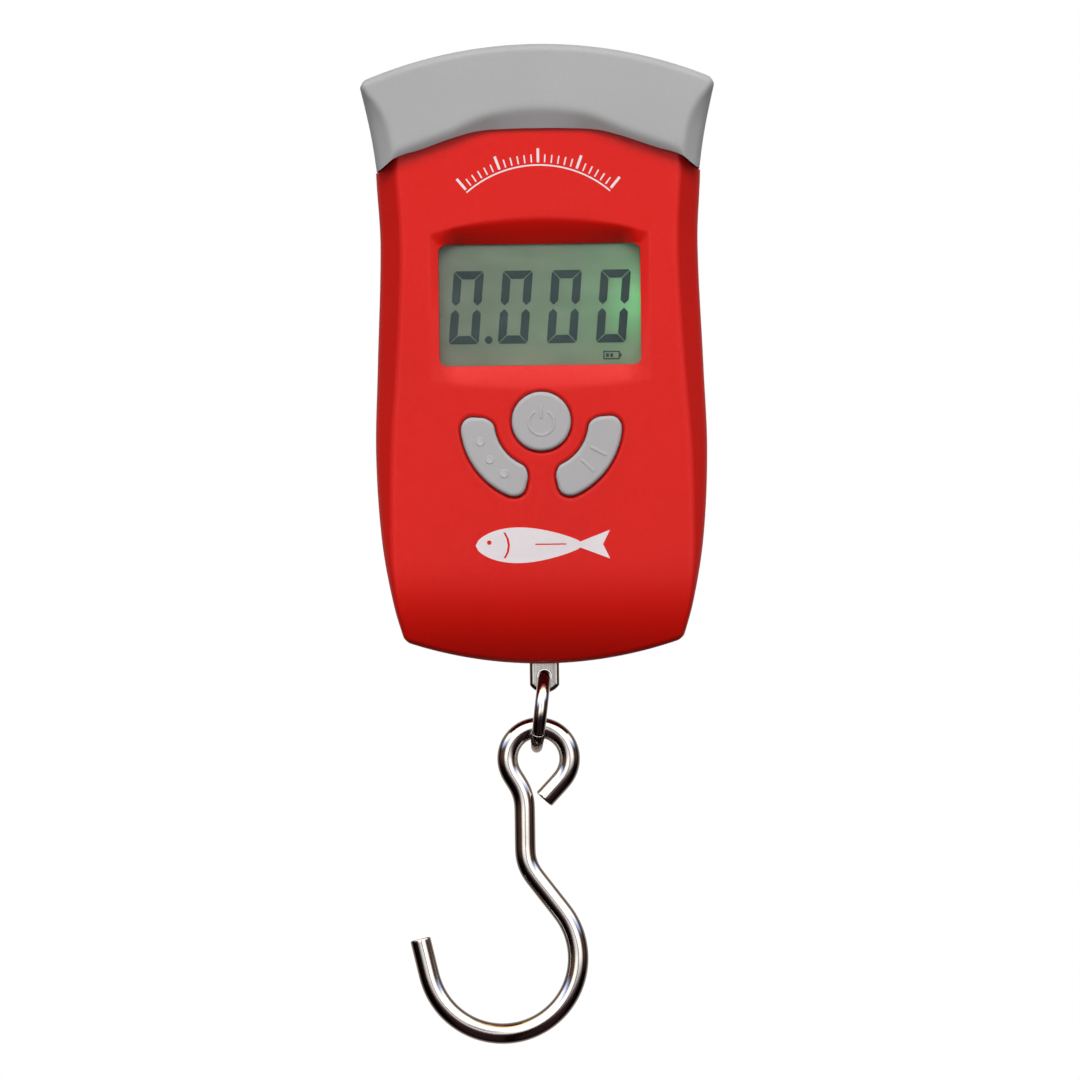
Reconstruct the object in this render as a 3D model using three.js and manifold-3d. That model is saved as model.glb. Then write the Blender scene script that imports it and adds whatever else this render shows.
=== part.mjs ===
// A hand-held digital fish scale as it hangs in use: front face towards -Y, hook at the bottom.
// Lengths are in millimetres. Heights are given as "below", the distance down from the top of the grip,
// and the origin is inside the grip, where the hand holds it.
import * as THREE from "three";
import { mergeVertices } from "three/addons/utils/BufferGeometryUtils.js";
import Module from "manifold-3d";

const wasm = await Module();
wasm.setup();

// ---- Driving dimensions ----

const GRIP_CENTRE_BELOW = 12;
const GAP = 0.3; // between neighbouring pieces
const WALL = 1.8; // of the two covers
const BEYOND = 40; // half size of a cutting tool that reaches past every side of the case

// Case: half widths and front bevel widths as [below, size] stations.
const CASE_BOTTOM = 115.3;
const CASE_BOTTOM_ARC = 79; // radius of the bottom edge in front view
const CASE_HALF_DEPTH = 12.5;
const CASE_HALF_WIDTHS = [
  [9, 30.2], [23.6, 30.2], [37, 29.55], [60, 30.35], [76, 30.85], [92, 29.95], [104, 27.9], [112, 25.6],
];
const CASE_BEVELS = [[9, 3.7], [55, 3.7], [85, 2.4], [107, 0.3], [118, 0.3]];
const CASE_BEVEL_SLOPE = 1.35; // its depth over its width
const CURVE_START = 98; // below this the front and back faces curve towards each other
const CURVE_IN = 6.5;
const CASE_STATIONS = [116.3, 114, 111.5, 108.5, 105.5, 102, CURVE_START, 91, 83, 74, 66, 56, 46, 36, 26];
const SHOULDER = 23.6; // where the case narrows to the neck inside the grip
const NECK_TOP = 9;
const NECK_HALF_WIDTH = 27.4;

// Grip cap
const GRIP_TOP_ARC = 84;
const GRIP_HEIGHT = 23.3;
const GRIP_HALF_DEPTH = 15.5;
const GRIP_HALF_WIDTHS = [[-2, 35.3], [8, 32.9], [14.7, 31.4], [19.2, 30.6], [24, 29.95]];
const GRIP_BEVELS = [[-2, 0.2], [7.6, 0.3], [8.7, 1], [10.8, 2.3], [13.9, 3.3], [18, 3.6], [24, 3.7]];
const GRIP_BEVEL_SLOPE = 1.09;
const GRIP_EDGE = 1.5; // chamfer along the top arc
const GRIP_WALL = 2.7;
const CAVITY_HALF_WIDTH = 27.8;
const CAVITY_BEVEL = 1.1;
const CAVITY_BEVEL_DEPTH = 1.4;
// The lower edge of the grip's face, and the line where the chamfer under it meets the case.
// Both are [distance from the middle, below].
const ARCH_EDGE = [
  [-5, 12.1], [0, 11.7], [5, 12.1], [10.7, 13.4], [16.4, 15.9], [21, 17.6], [24, 18.7], [26.6, 19.9],
  [29.8, 22.6], [36, 25.4],
];
const ARCH_FOOT = [
  [-5, 15.7], [0, 15.65], [5, 15.7], [11.2, 16.1], [16.4, 17.5], [21.5, 19.3], [26.6, 20.9], [29.8, 23.3],
  [36, 26],
];
const FOOT_END = 29.8; // distance from the middle where that line reaches the grip's lower end

// Window and display
const WINDOW_HALF_WIDTH = 18.8;
const WINDOW_TOP = 37.1;
const WINDOW_BOTTOM = 59.8;
const RECESS_HALF_WIDTH = 20.6;
const RECESS_TOP = 32.4;
const RECESS_BOTTOM = 64.1;
const RECESS_ARCH = 2.8; // how much lower the recess's top edge is at its ends
const RECESS_BOTTOM_ARCH = 1.6;
const PANE_FRONT = -10.1;
const PANE_THICKNESS = 1;
const PANEL_THICKNESS = 1.8;

// Circuit board
const BOARD_FRONT = -3.9;
const BOARD_THICKNESS = 1;
const BOARD_HALF_WIDTH = 18.3;
const BOARD_TOP = 26.5;
const BOARD_BOTTOM = 86.5;

// Keys
const KEYS_BELOW = 70.1; // centre of the power key and of the two crescents
const POWER_RADIUS = 5.5;
const CRESCENT_INNER = 8.8;
const CRESCENT_OUTER = 15.5;
const CRESCENT_FROM = 4; // degrees, above the horizontal at its outer end
const CRESCENT_TO = -76;
const CRESCENT_CORNER = 2.4;
const KEY_FRONT = -13.4;
const KEY_EDGE = 0.5;
const FLANGE_FRONT = -10.4;
const FLANGE_BACK = -9.4;
const FLANGE_WIDTH = 0.9;
const STEM_RADIUS = 1.6;
const STEM_END = -8.4;
const SWITCH_SIZE = 6;
const SWITCH_HEIGHT = 3.2;
const PLUNGER_RADIUS = 1.5;

// Battery bay: two AAA cells side by side
const CELL_RADIUS = 5.25;
const CELL_LENGTH = 44.5;
const CELL_NUB = 0.8;
const CELL_X = 5.9;
const CELL_Y = 4.95;
const BAY_HALF_WIDTH = 12.4;
const BAY_TOP = 32.4;
const BAY_BOTTOM = 84.4;
const BAY_FLOOR = -0.6; // nearest the front
const BAY_WALL = 1.2;
const DOOR_HALF_WIDTH = 14.6;
const DOOR_TOP = 30.2;
const DOOR_BOTTOM = 86.4;
const DOOR_THICKNESS = 1.6;

// Load cell and hanging gear
const CELL_PLATE_TOP = 88.5;
const CELL_PLATE_BOTTOM = 109;
const CELL_PLATE_HALF_WIDTH = 14;
const CELL_PLATE_HALF_DEPTH = 3;
const TONGUE_HALF_WIDTH = 2.75;
const TONGUE_HALF_DEPTH = 1.1;
const TONGUE_TOP = 105;
const TONGUE_HOLE_BELOW = 117.5;
const TONGUE_HOLE_RADIUS = 1.5;
const TONGUE_END_RADIUS = 3.3;
const PIN_BELOW = 107;
const RING_RADIUS = 6.6; // of the wire's centre line
const RING_WIRE = 1.175;
const RING_TILT = 7; // degrees, its lower side leans to the left
const RING_BELOW = 117.7; // its wire where it passes through the tongue
const HOOK_WIRE = 2;
const HOOK_EYE_X = -1.3;
const HOOK_EYE_BELOW = 133.1;
const HOOK_EYE_RADIUS = 5.85;

// ---- Shape helpers ----

const level = (below) => GRIP_CENTRE_BELOW - below;
const radians = THREE.MathUtils.degToRad;

// A closed three.js geometry as a solid for cutting and joining.
function solid(geometry) {
  const bare = geometry.index ? geometry.toNonIndexed() : geometry.clone();
  bare.deleteAttribute("normal");
  bare.deleteAttribute("uv");
  const merged = mergeVertices(bare, 1e-4);
  const vertProperties = merged.attributes.position.array;
  const triVerts = new Uint32Array(merged.index.array);
  return new wasm.Manifold(new wasm.Mesh({ numProp: 3, vertProperties, triVerts }));
}

function surfaceOf(made) {
  const mesh = made.getMesh();
  const geometry = new THREE.BufferGeometry();
  geometry.setAttribute("position", new THREE.BufferAttribute(mesh.vertProperties, 3));
  geometry.setIndex(new THREE.BufferAttribute(mesh.triVerts, 1));
  return geometry;
}

const join = (first, ...others) => others.reduce((whole, next) => whole.add(next), first);
const cut = (body, ...tools) => tools.reduce((rest, tool) => rest.subtract(tool), body);

// A smooth line through [below, size] stations.
function along(stations, below) {
  const last = stations.length - 1;
  const inside = THREE.MathUtils.clamp(below, stations[0][0], stations[last][0]);
  let k = 0;
  while (k < last - 1 && inside > stations[k + 1][0]) k += 1;
  const slope = (a, b) => (stations[b][1] - stations[a][1]) / (stations[b][0] - stations[a][0]);
  const [x0, y0] = stations[k];
  const [x1, y1] = stations[k + 1];
  const m0 = slope(Math.max(k - 1, 0), k + 1) * (x1 - x0);
  const m1 = slope(k, Math.min(k + 2, last)) * (x1 - x0);
  const t = (inside - x0) / (x1 - x0);
  const rise = t * t * (3 - 2 * t);
  return y0 + (y1 - y0) * rise + m0 * t * (1 - t) ** 2 - m1 * t * t * (1 - t);
}

// A box from its X and Y limits and its two heights.
function block([x0, x1], [y0, y1], [below0, below1]) {
  const geometry = new THREE.BoxGeometry(x1 - x0, y1 - y0, below1 - below0);
  geometry.translate((x0 + x1) / 2, (y0 + y1) / 2, level((below0 + below1) / 2));
  return solid(geometry);
}

// A round rod along Y.
function rod(radius, y0, y1, x, below, sides = 20) {
  const geometry = new THREE.CylinderGeometry(radius, radius, y1 - y0, sides);
  geometry.translate(x, (y0 + y1) / 2, level(below));
  return solid(geometry);
}

// A shape drawn in X and Z, as thick as y0 to y1.
function plate(shape, y0, y1, options = {}) {
  const geometry = new THREE.ExtrudeGeometry(shape, {
    depth: y1 - y0,
    bevelEnabled: false,
    curveSegments: 6,
    ...options,
  });
  geometry.rotateX(Math.PI / 2);
  geometry.translate(0, y1, 0);
  return solid(geometry);
}

const polygon = (points) => new THREE.Shape(points.map(([x, y]) => new THREE.Vector2(x, y)));

// A solid between stations: its section is drawn on grid labels, and place() gives each label's real point.
function loft(labels, stations, place) {
  const steps = stations.length - 1;
  const geometry = new THREE.ExtrudeGeometry(polygon(labels), { depth: 1, steps, bevelEnabled: false });
  const points = geometry.attributes.position;
  for (let n = 0; n < points.count; n += 1) {
    const station = stations[Math.round(points.getZ(n) * steps)];
    points.setXYZ(n, ...place(Math.round(points.getX(n)), Math.round(points.getY(n)), station));
  }
  return solid(geometry);
}

// A rectangle with round corners about the origin.
function roundedRectangle(width, height, corner) {
  const x = width / 2;
  const y = height / 2;
  const shape = new THREE.Shape();
  shape.absarc(x - corner, y - corner, corner, 0, Math.PI / 2);
  shape.absarc(corner - x, y - corner, corner, Math.PI / 2, Math.PI);
  shape.absarc(corner - x, corner - y, corner, Math.PI, 1.5 * Math.PI);
  shape.absarc(x - corner, corner - y, corner, 1.5 * Math.PI, 2 * Math.PI);
  return shape;
}

// A round wire along a curve.
function wire(curve, radius, sides, steps) {
  const section = new THREE.Shape();
  section.absarc(0, 0, radius, 0, 2 * Math.PI);
  return new THREE.ExtrudeGeometry(section, {
    extrudePath: curve,
    steps,
    curveSegments: sides / 2,
    bevelEnabled: false,
  });
}

// The centre line of a wire bent in the XZ plane, in runs of ["straight", length] and
// ["left" or "right", radius, degrees].
class BentLine extends THREE.Curve {
  constructor(start, heading, runs) {
    super();
    this.path = new THREE.CurvePath();
    let at = start.clone();
    let angle = radians(heading);
    for (const [kind, size, degrees] of runs) {
      if (kind === "straight") {
        const end = new THREE.Vector2(Math.cos(angle), Math.sin(angle)).multiplyScalar(size).add(at);
        this.path.add(new THREE.LineCurve(at, end));
        at = end;
        continue;
      }
      const side = kind === "left" ? 1 : -1;
      const from = angle - (side * Math.PI) / 2;
      const to = from + side * radians(degrees);
      const centre = new THREE.Vector2(at.x - size * Math.cos(from), at.y - size * Math.sin(from));
      const bend = new THREE.EllipseCurve(centre.x, centre.y, size, size, from, to, side < 0, 0);
      this.path.add(bend);
      at = bend.getPoint(1);
      angle += side * radians(degrees);
    }
  }

  getPoint(t) {
    const point = this.path.getPoint(t);
    return new THREE.Vector3(point.x, 0, point.y);
  }
}

// A coil about Z that narrows from one radius to another.
class Coil extends THREE.Curve {
  constructor(radius0, radius1, height, turns) {
    super();
    Object.assign(this, { radius0, radius1, height, turns });
  }

  getPoint(t) {
    const radius = THREE.MathUtils.lerp(this.radius0, this.radius1, t);
    const angle = 2 * Math.PI * this.turns * t;
    return new THREE.Vector3(radius * Math.cos(angle), radius * Math.sin(angle), this.height * t);
  }
}

// ---- Finishes: colour, roughness, metalness ----

const FINISHES = {
  redPlastic: [0xcd2a22, 0.5, 0],
  greyPlastic: [0xb1b0ad, 0.55, 0],
  keyPlastic: [0xb1aeaf, 0.5, 0],
  clearPane: [0xa8b5ab, 0.1, 0],
  display: [0x7d8a77, 0.25, 0],
  whitePlastic: [0xe4e2da, 0.6, 0],
  blackRubber: [0x202022, 0.8, 0],
  ledGreen: [0x78b27c, 0.4, 0],
  boardGreen: [0x1f5a34, 0.5, 0],
  chipBlack: [0x17181a, 0.55, 0],
  plating: [0xc9c7c0, 0.3, 1],
  aluminium: [0xb9babb, 0.4, 1],
  gauge: [0xb8863b, 0.5, 0],
  steel: [0xb5b2ac, 0.22, 1],
  screwSteel: [0x8f9091, 0.4, 1],
  cellWrap: [0x2c4f7a, 0.4, 0],
  redWire: [0xb3261e, 0.5, 0],
  blackWire: [0x1c1c1e, 0.5, 0],
  whiteWire: [0xe6e6e2, 0.5, 0],
  greenWire: [0x2f8a4a, 0.5, 0],
};

function piece(name, shape, finish) {
  const geometry = shape.isBufferGeometry ? shape : surfaceOf(shape);
  const [color, roughness, metalness] = FINISHES[finish];
  const mesh = new THREE.Mesh(geometry, new THREE.MeshStandardMaterial({ color, roughness, metalness }));
  mesh.name = name;
  return mesh;
}

function placed(mesh, x, y, below) {
  mesh.position.set(x, y, level(below));
  return mesh;
}

// ---- Case ----

function caseHalfDepth(below) {
  const t = Math.max(0, (below - CURVE_START) / (CASE_BOTTOM - CURVE_START));
  return CASE_HALF_DEPTH - CURVE_IN * t * t;
}

// Everything above an arc of the given radius whose lowest point is at a given height.
function aboveArc(radius, lowest) {
  const shape = new THREE.Shape();
  const centre = level(lowest) + radius;
  const spread = Math.asin(BEYOND / radius);
  shape.absarc(0, centre, radius, -Math.PI / 2 - spread, -Math.PI / 2 + spread);
  shape.lineTo(BEYOND, level(0));
  shape.lineTo(-BEYOND, level(0));
  return plate(shape, -BEYOND, BEYOND, { curveSegments: 20 });
}

// The case's outer form, or with an inset the hollow inside its walls.
function caseForm(inset) {
  const labels = [[-1, 0], [1, 0], [2, 1], [2, 2], [1, 3], [-1, 3], [-2, 2], [-2, 1]];
  const full = loft(labels, [...CASE_STATIONS, NECK_TOP + inset], (i, j, below) => {
    const bevel = Math.abs(i) === 1 ? along(CASE_BEVELS, below) : 0;
    const x = along(CASE_HALF_WIDTHS, below) - inset - bevel;
    const depth = caseHalfDepth(below) - inset;
    const y = j === 0 || j === 3 ? depth : depth - CASE_BEVEL_SLOPE * along(CASE_BEVELS, below);
    return [Math.sign(i) * x, j < 2 ? -y : y, level(below)];
  });
  const bottomed = full.intersect(aboveArc(CASE_BOTTOM_ARC - inset, CASE_BOTTOM - inset));
  return cut(bottomed, besideNeck(1, inset), besideNeck(-1, inset));
}

// What is cut away beside the neck. The shoulder under it follows the grip's foot and leaves a gap.
function besideNeck(side, inset) {
  const neck = NECK_HALF_WIDTH - inset;
  const line = [
    [neck, 0], [neck, along(ARCH_FOOT, NECK_HALF_WIDTH) + GAP + inset], [FOOT_END, SHOULDER + inset],
    [BEYOND, SHOULDER + inset], [BEYOND, 0],
  ];
  return plate(polygon(line.map(([x, below]) => [side * x, level(below)])), -BEYOND, BEYOND);
}

const caseShell = cut(caseForm(0), caseForm(WALL));
const halfOf = (y0, y1) => block([-BEYOND, BEYOND], [y0, y1], [0, CASE_BOTTOM + 1]);
const tongueSlot = block(
  [-TONGUE_HALF_WIDTH - GAP, TONGUE_HALF_WIDTH + GAP],
  [-TONGUE_HALF_DEPTH - GAP, TONGUE_HALF_DEPTH + GAP],
  [110, 118],
);

const CASE_SCREWS = [[-22, 38], [22, 38], [-20, 102.5], [20, 102.5]];
const GRIP_SCREWS = [[-21, 12.3], [21, 12.3]];
const BOARD_SCREWS = [[-16, 63], [16, 63]];
const LOAD_SCREWS = [[-9, 91.2], [9, 91.2]];
const SHANK = 1.2;
const SHANK_HOLE = 1.5;
const HEAD = 2.6;
const HEAD_HOLE = 2.9;
const CASE_HEAD_SEAT = 9.5;
const GRIP_HEAD_SEAT = 14.1;

// Bosses: radii, and how far from the middle plane they grow out of the walls.
const CASE_BOSS = 3;
const BOARD_BOSS = 2.2;
const GRIP_BOSS = 2.6;
const REAR_BOSS = 3.2;
const BOSS_ROOT = 11.2;

// Thick frame behind the window's recess, and the rim that the battery door sits in
const FRAME_HALF_WIDTH = 22.4;
const FRAME_BACK = -8.7;
const FRAME_HEIGHTS = [31.4, 62.9];
const RIM_HALF_WIDTH = 16.6;
const RIM_INSIDE = 8.6;
const RIM_HEIGHTS = [27.6, 88.6];

// Battery door: its two upper tabs, its latch and the notch for a thumb
const TAB_X = 7;
const TAB_HALF_WIDTH = 2;
const TAB_THICKNESS = 0.7;
const LATCH_HALF_WIDTH = 4;
const NOTCH_HALF_WIDTH = 4.6;
const NOTCH_HEIGHT = 3.4;
const LEAD_HOLE_HALF_WIDTH = 1.4;

// The recess round the window: it narrows from its arched rim on the face to the window's edges.
function windowRecess() {
  const columns = 8;
  const labels = [];
  for (let k = 0; k <= columns; k += 1) labels.push([k, 0]);
  for (let k = columns; k >= 0; k -= 1) labels.push([k, 1]);
  const place = (k, row, y) => {
    const across = (2 * k) / columns - 1;
    const share = (PANE_FRONT - y) / (PANE_FRONT + CASE_HALF_DEPTH);
    const arch = row === 1 ? RECESS_ARCH * across ** 2 : -RECESS_BOTTOM_ARCH * across ** 2;
    const rim = (row === 1 ? RECESS_TOP : RECESS_BOTTOM) + arch;
    const edge = row === 1 ? WINDOW_TOP : WINDOW_BOTTOM;
    const halfWidth = THREE.MathUtils.lerp(WINDOW_HALF_WIDTH, RECESS_HALF_WIDTH, share);
    return [halfWidth * across, y, level(THREE.MathUtils.lerp(edge, rim, share))];
  };
  return loft(labels, [PANE_FRONT, -CASE_HALF_DEPTH - 0.4], place);
}

// A crescent key's outline about the power key's centre, on the right (1) or left (-1).
function crescentOutline(side, grow) {
  const middle = (CRESCENT_INNER + CRESCENT_OUTER) / 2;
  const length = radians(CRESCENT_FROM - CRESCENT_TO) * middle + 2 * grow;
  const height = CRESCENT_OUTER - CRESCENT_INNER + 2 * grow;
  const centreAngle = radians((CRESCENT_FROM + CRESCENT_TO) / 2);
  const points = roundedRectangle(length, height, CRESCENT_CORNER).getSpacedPoints(26);
  points.pop();
  const bent = points.map((p) => {
    const radius = middle + p.y;
    const angle = centreAngle + p.x / middle;
    return [side * radius * Math.cos(angle), level(KEYS_BELOW) + radius * Math.sin(angle)];
  });
  return polygon(bent);
}

function keyPlace(side) {
  const angle = radians((CRESCENT_FROM + CRESCENT_TO) / 2);
  const radius = side === 0 ? 0 : (CRESCENT_INNER + CRESCENT_OUTER) / 2;
  return [side * radius * Math.cos(angle), KEYS_BELOW - radius * Math.sin(angle)];
}

function frontCover() {
  const frame = block(
    [-FRAME_HALF_WIDTH, FRAME_HALF_WIDTH],
    [-CASE_HALF_DEPTH + 1, FRAME_BACK],
    FRAME_HEIGHTS,
  );
  const bosses = [
    ...CASE_SCREWS.map(([x, below]) => rod(CASE_BOSS, -BOSS_ROOT, -GAP, x, below, 16)),
    ...BOARD_SCREWS.map(([x, below]) => rod(BOARD_BOSS, -BOSS_ROOT, BOARD_FRONT - GAP, x, below, 16)),
  ];
  const inner = join(frame, ...bosses).intersect(caseForm(WALL / 2));
  const openings = [
    windowRecess(),
    block([-WINDOW_HALF_WIDTH, WINDOW_HALF_WIDTH], [PANE_FRONT - 0.2, -8], [WINDOW_TOP, WINDOW_BOTTOM]),
    rod(POWER_RADIUS + GAP, -14, -10, 0, KEYS_BELOW, 24),
    plate(crescentOutline(1, GAP), -14, -10),
    plate(crescentOutline(-1, GAP), -14, -10),
    tongueSlot,
    ...CASE_SCREWS.map(([x, below]) => rod(SHANK_HOLE, -9, 1, x, below, 12)),
    ...BOARD_SCREWS.map(([x, below]) => rod(SHANK_HOLE, -9.8, 0, x, below, 12)),
  ];
  return cut(join(caseShell.intersect(halfOf(-BEYOND, -GAP / 2)), inner), ...openings);
}

function rearCover() {
  const bayBox = block(
    [-BAY_HALF_WIDTH - BAY_WALL, BAY_HALF_WIDTH + BAY_WALL],
    [BAY_FLOOR - BAY_WALL, CASE_HALF_DEPTH - 1],
    [BAY_TOP - BAY_WALL, BAY_BOTTOM + BAY_WALL],
  );
  const doorRim = block([-RIM_HALF_WIDTH, RIM_HALF_WIDTH], [RIM_INSIDE, CASE_HALF_DEPTH - 1], RIM_HEIGHTS);
  const bosses = [
    ...CASE_SCREWS.map(([x, below]) => rod(REAR_BOSS, GAP, BOSS_ROOT, x, below, 16)),
    ...GRIP_SCREWS.map(([x, below]) => rod(GRIP_BOSS, 3, BOSS_ROOT + 0.2, x, below, 16)),
    ...LOAD_SCREWS.map(([x, below]) => rod(REAR_BOSS, CELL_PLATE_HALF_DEPTH + GAP, BOSS_ROOT, x, below, 16)),
  ];
  const inner = join(bayBox, doorRim, ...bosses).intersect(caseForm(WALL / 2));
  const doorSeat = CASE_HALF_DEPTH - DOOR_THICKNESS - GAP;
  const outside = CASE_HALF_DEPTH + 1.5;
  const tabSlot = TAB_HALF_WIDTH + 0.4;
  const doorSides = DOOR_HALF_WIDTH + GAP;
  const lead = LEAD_HOLE_HALF_WIDTH;
  const openings = [
    block([-BAY_HALF_WIDTH, BAY_HALF_WIDTH], [BAY_FLOOR, outside], [BAY_TOP, BAY_BOTTOM]),
    block([-doorSides, doorSides], [doorSeat, outside], [DOOR_TOP - GAP, DOOR_BOTTOM + GAP]),
    block([-NOTCH_HALF_WIDTH, NOTCH_HALF_WIDTH], [11.1, outside], [DOOR_BOTTOM, DOOR_BOTTOM + NOTCH_HEIGHT]),
    ...[-TAB_X, TAB_X].flatMap((x) => [
      block([x - tabSlot, x + tabSlot], [9.9, 11.9], [DOOR_TOP - 1.7, DOOR_TOP + 1.7]),
      block([x - lead, x + lead], [2.4, 4.6], [BAY_TOP - 2, BAY_TOP + 1]),
    ]),
    tongueSlot,
    ...CASE_SCREWS.map(([x, below]) => rod(HEAD_HOLE, CASE_HEAD_SEAT - GAP, outside, x, below, 16)),
    ...[...CASE_SCREWS, ...GRIP_SCREWS].map(([x, below]) => rod(SHANK_HOLE, 0, outside, x, below, 12)),
    ...LOAD_SCREWS.map(([x, below]) => rod(SHANK_HOLE, 0, 9.5, x, below, 12)),
  ];
  return cut(join(caseShell.intersect(halfOf(GAP / 2, BEYOND)), inner), ...openings);
}

// ---- Grip cap ----

// Cuts the skirt of the grip to its arch, as a chamfer that runs from the grip's face in to the case.
function archCutter(side) {
  const columns = 24;
  const reach = 36; // past the sides of the grip
  const bottom = GRIP_HEIGHT + 10;
  const labels = [];
  for (let k = 0; k <= columns; k += 1) labels.push([k, 0]);
  for (let k = columns; k >= 0; k -= 1) labels.push([k, 1]);
  const foot = CASE_HALF_DEPTH + GAP;
  const place = (k, row, depth) => {
    const x = reach * ((2 * k) / columns - 1);
    const share = (depth - foot) / (GRIP_HALF_DEPTH - foot);
    const low = along(ARCH_FOOT, Math.abs(x));
    const high = along(ARCH_EDGE, Math.abs(x));
    const edge = THREE.MathUtils.lerp(low, high, share);
    return [side * x, side * depth, level(row === 1 ? edge : bottom)];
  };
  // Stations run from the grip's face inwards, which keeps the tool's faces pointing out on both sides.
  return loft(labels, [GRIP_HALF_DEPTH + 1, foot - 0.2], place);
}

// Cuts the grip's side wall to the foot line, where that line still rises towards the middle.
function footCutter(side) {
  const inner = NECK_HALF_WIDTH - 1;
  const line = [
    [inner, along(ARCH_FOOT, inner)], [NECK_HALF_WIDTH, along(ARCH_FOOT, NECK_HALF_WIDTH)],
    [FOOT_END, GRIP_HEIGHT], [FOOT_END, BEYOND], [inner, BEYOND],
  ];
  return plate(polygon(line.map(([x, below]) => [side * x, level(below)])), -BEYOND, BEYOND);
}

function gripCap() {
  const labels = [[-1, 0], [1, 0], [2, 1], [2, 2], [1, 3], [-1, 3], [-2, 2], [-2, 1]];
  const heights = [GRIP_HEIGHT, 18, 13.9, 11, 8.7, 7.4, 3, -1];
  const full = loft(labels, heights, (i, j, below) => {
    const bevel = along(GRIP_BEVELS, below);
    const x = along(GRIP_HALF_WIDTHS, below) - (Math.abs(i) === 1 ? bevel : 0);
    const y = GRIP_HALF_DEPTH - (Math.abs(i) === 2 ? GRIP_BEVEL_SLOPE * bevel : 0);
    return [Math.sign(i) * x, j < 2 ? -y : y, level(below)];
  });
  const underArc = (radius, depth, options) => {
    const shape = new THREE.Shape();
    const spread = Math.asin(BEYOND / radius);
    shape.absarc(0, level(GRIP_TOP_ARC), radius, Math.PI / 2 - spread, Math.PI / 2 + spread);
    shape.lineTo(-BEYOND, level(BEYOND));
    shape.lineTo(BEYOND, level(BEYOND));
    return plate(shape, -depth, depth, { curveSegments: 20, ...options });
  };
  const outer = full.intersect(
    underArc(GRIP_TOP_ARC, GRIP_HALF_DEPTH - GRIP_EDGE, {
      bevelEnabled: true,
      bevelThickness: GRIP_EDGE,
      bevelSize: GRIP_EDGE,
      bevelOffset: -GRIP_EDGE,
      bevelSegments: 1,
    }),
  );
  const wide = CAVITY_HALF_WIDTH;
  const deep = GRIP_HALF_DEPTH - GRIP_WALL;
  const cavityPlace = (i, j, below) => {
    const x = wide - (Math.abs(i) === 1 ? CAVITY_BEVEL : 0);
    const y = deep - (j === 0 || j === 3 ? 0 : CAVITY_BEVEL_DEPTH);
    return [Math.sign(i) * x, j < 2 ? -y : y, level(below)];
  };
  const room = loft(labels, [GRIP_HEIGHT + 5, 0], cavityPlace);
  const cavity = room.intersect(underArc(GRIP_TOP_ARC - 3, BEYOND));
  const outside = GRIP_HALF_DEPTH + 1.5;
  const screwHoles = GRIP_SCREWS.flatMap(([x, below]) => [
    rod(HEAD_HOLE, GRIP_HEAD_SEAT - GAP, outside, x, below, 16),
    rod(SHANK_HOLE, CASE_HALF_DEPTH - 0.5, outside, x, below, 12),
  ]);
  const skirt = [archCutter(1), archCutter(-1), footCutter(1), footCutter(-1)];
  return cut(outer, cavity, ...skirt, ...screwHoles);
}

// ---- Battery door ----

function batteryDoor() {
  const height = DOOR_BOTTOM - DOOR_TOP;
  const middle = (DOOR_TOP + DOOR_BOTTOM) / 2;
  const shape = roundedRectangle(2 * DOOR_HALF_WIDTH, height, 1.5);
  const panel = plate(shape, 0, DOOR_THICKNESS, { curveSegments: 3 });
  const inner = CASE_HALF_DEPTH - DOOR_THICKNESS;
  const tab = (x) => [x - TAB_HALF_WIDTH, x + TAB_HALF_WIDTH];
  return join(
    panel.translate([0, inner, level(middle)]),
    block(tab(-TAB_X), [inner, inner + TAB_THICKNESS], [DOOR_TOP - 1.3, DOOR_TOP + 1]),
    block(tab(TAB_X), [inner, inner + TAB_THICKNESS], [DOOR_TOP - 1.3, DOOR_TOP + 1]),
    block(
      [-LATCH_HALF_WIDTH, LATCH_HALF_WIDTH],
      [inner + 0.5, inner + 1.2],
      [DOOR_BOTTOM - 1, DOOR_BOTTOM + 0.9],
    ),
  );
}

// ---- Screws ----

// A screw along -Y: the head's underside is at y = 0.
function screw(headRadius, headHeight, shankRadius, shankLength) {
  const profile = [
    [0, headHeight], [headRadius * 0.8, headHeight], [headRadius, headHeight * 0.6], [headRadius, 0],
    [shankRadius, 0], [shankRadius, -shankLength], [0, -shankLength],
  ];
  return turned(profile, 10);
}

// A solid of revolution about Y from [radius, y] points, listed from its +Y end to its -Y end.
function turned(profile, sides) {
  const points = profile.map(([radius, y]) => new THREE.Vector2(radius, y));
  return new THREE.LatheGeometry(points.reverse(), sides);
}

function screws() {
  const group = new THREE.Group();
  CASE_SCREWS.forEach(([x, below], n) => {
    const mesh = piece(`case_screw_${n + 1}`, screw(HEAD, 2.2, SHANK, 17.5), "screwSteel");
    group.add(placed(mesh, x, CASE_HEAD_SEAT, below));
  });
  const sides = ["left", "right"];
  GRIP_SCREWS.forEach(([x, below], n) => {
    const mesh = piece(`grip_screw_${sides[n]}`, screw(HEAD, 1.2, SHANK, 9), "screwSteel");
    group.add(placed(mesh, x, GRIP_HEAD_SEAT, below));
  });
  BOARD_SCREWS.forEach(([x, below], n) => {
    const mesh = piece(`board_screw_${sides[n]}`, screw(2, 1.2, SHANK, 6.8), "screwSteel");
    group.add(placed(mesh, x, BOARD_FRONT + BOARD_THICKNESS + GAP, below));
  });
  LOAD_SCREWS.forEach(([x, below], n) => {
    const mesh = piece(`load_cell_screw_${sides[n]}`, screw(2.4, 1.8, SHANK, 12), "screwSteel");
    mesh.rotation.z = Math.PI;
    group.add(placed(mesh, x, -CELL_PLATE_HALF_DEPTH - GAP, below));
  });
  return group;
}

// ---- Display and board ----

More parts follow.
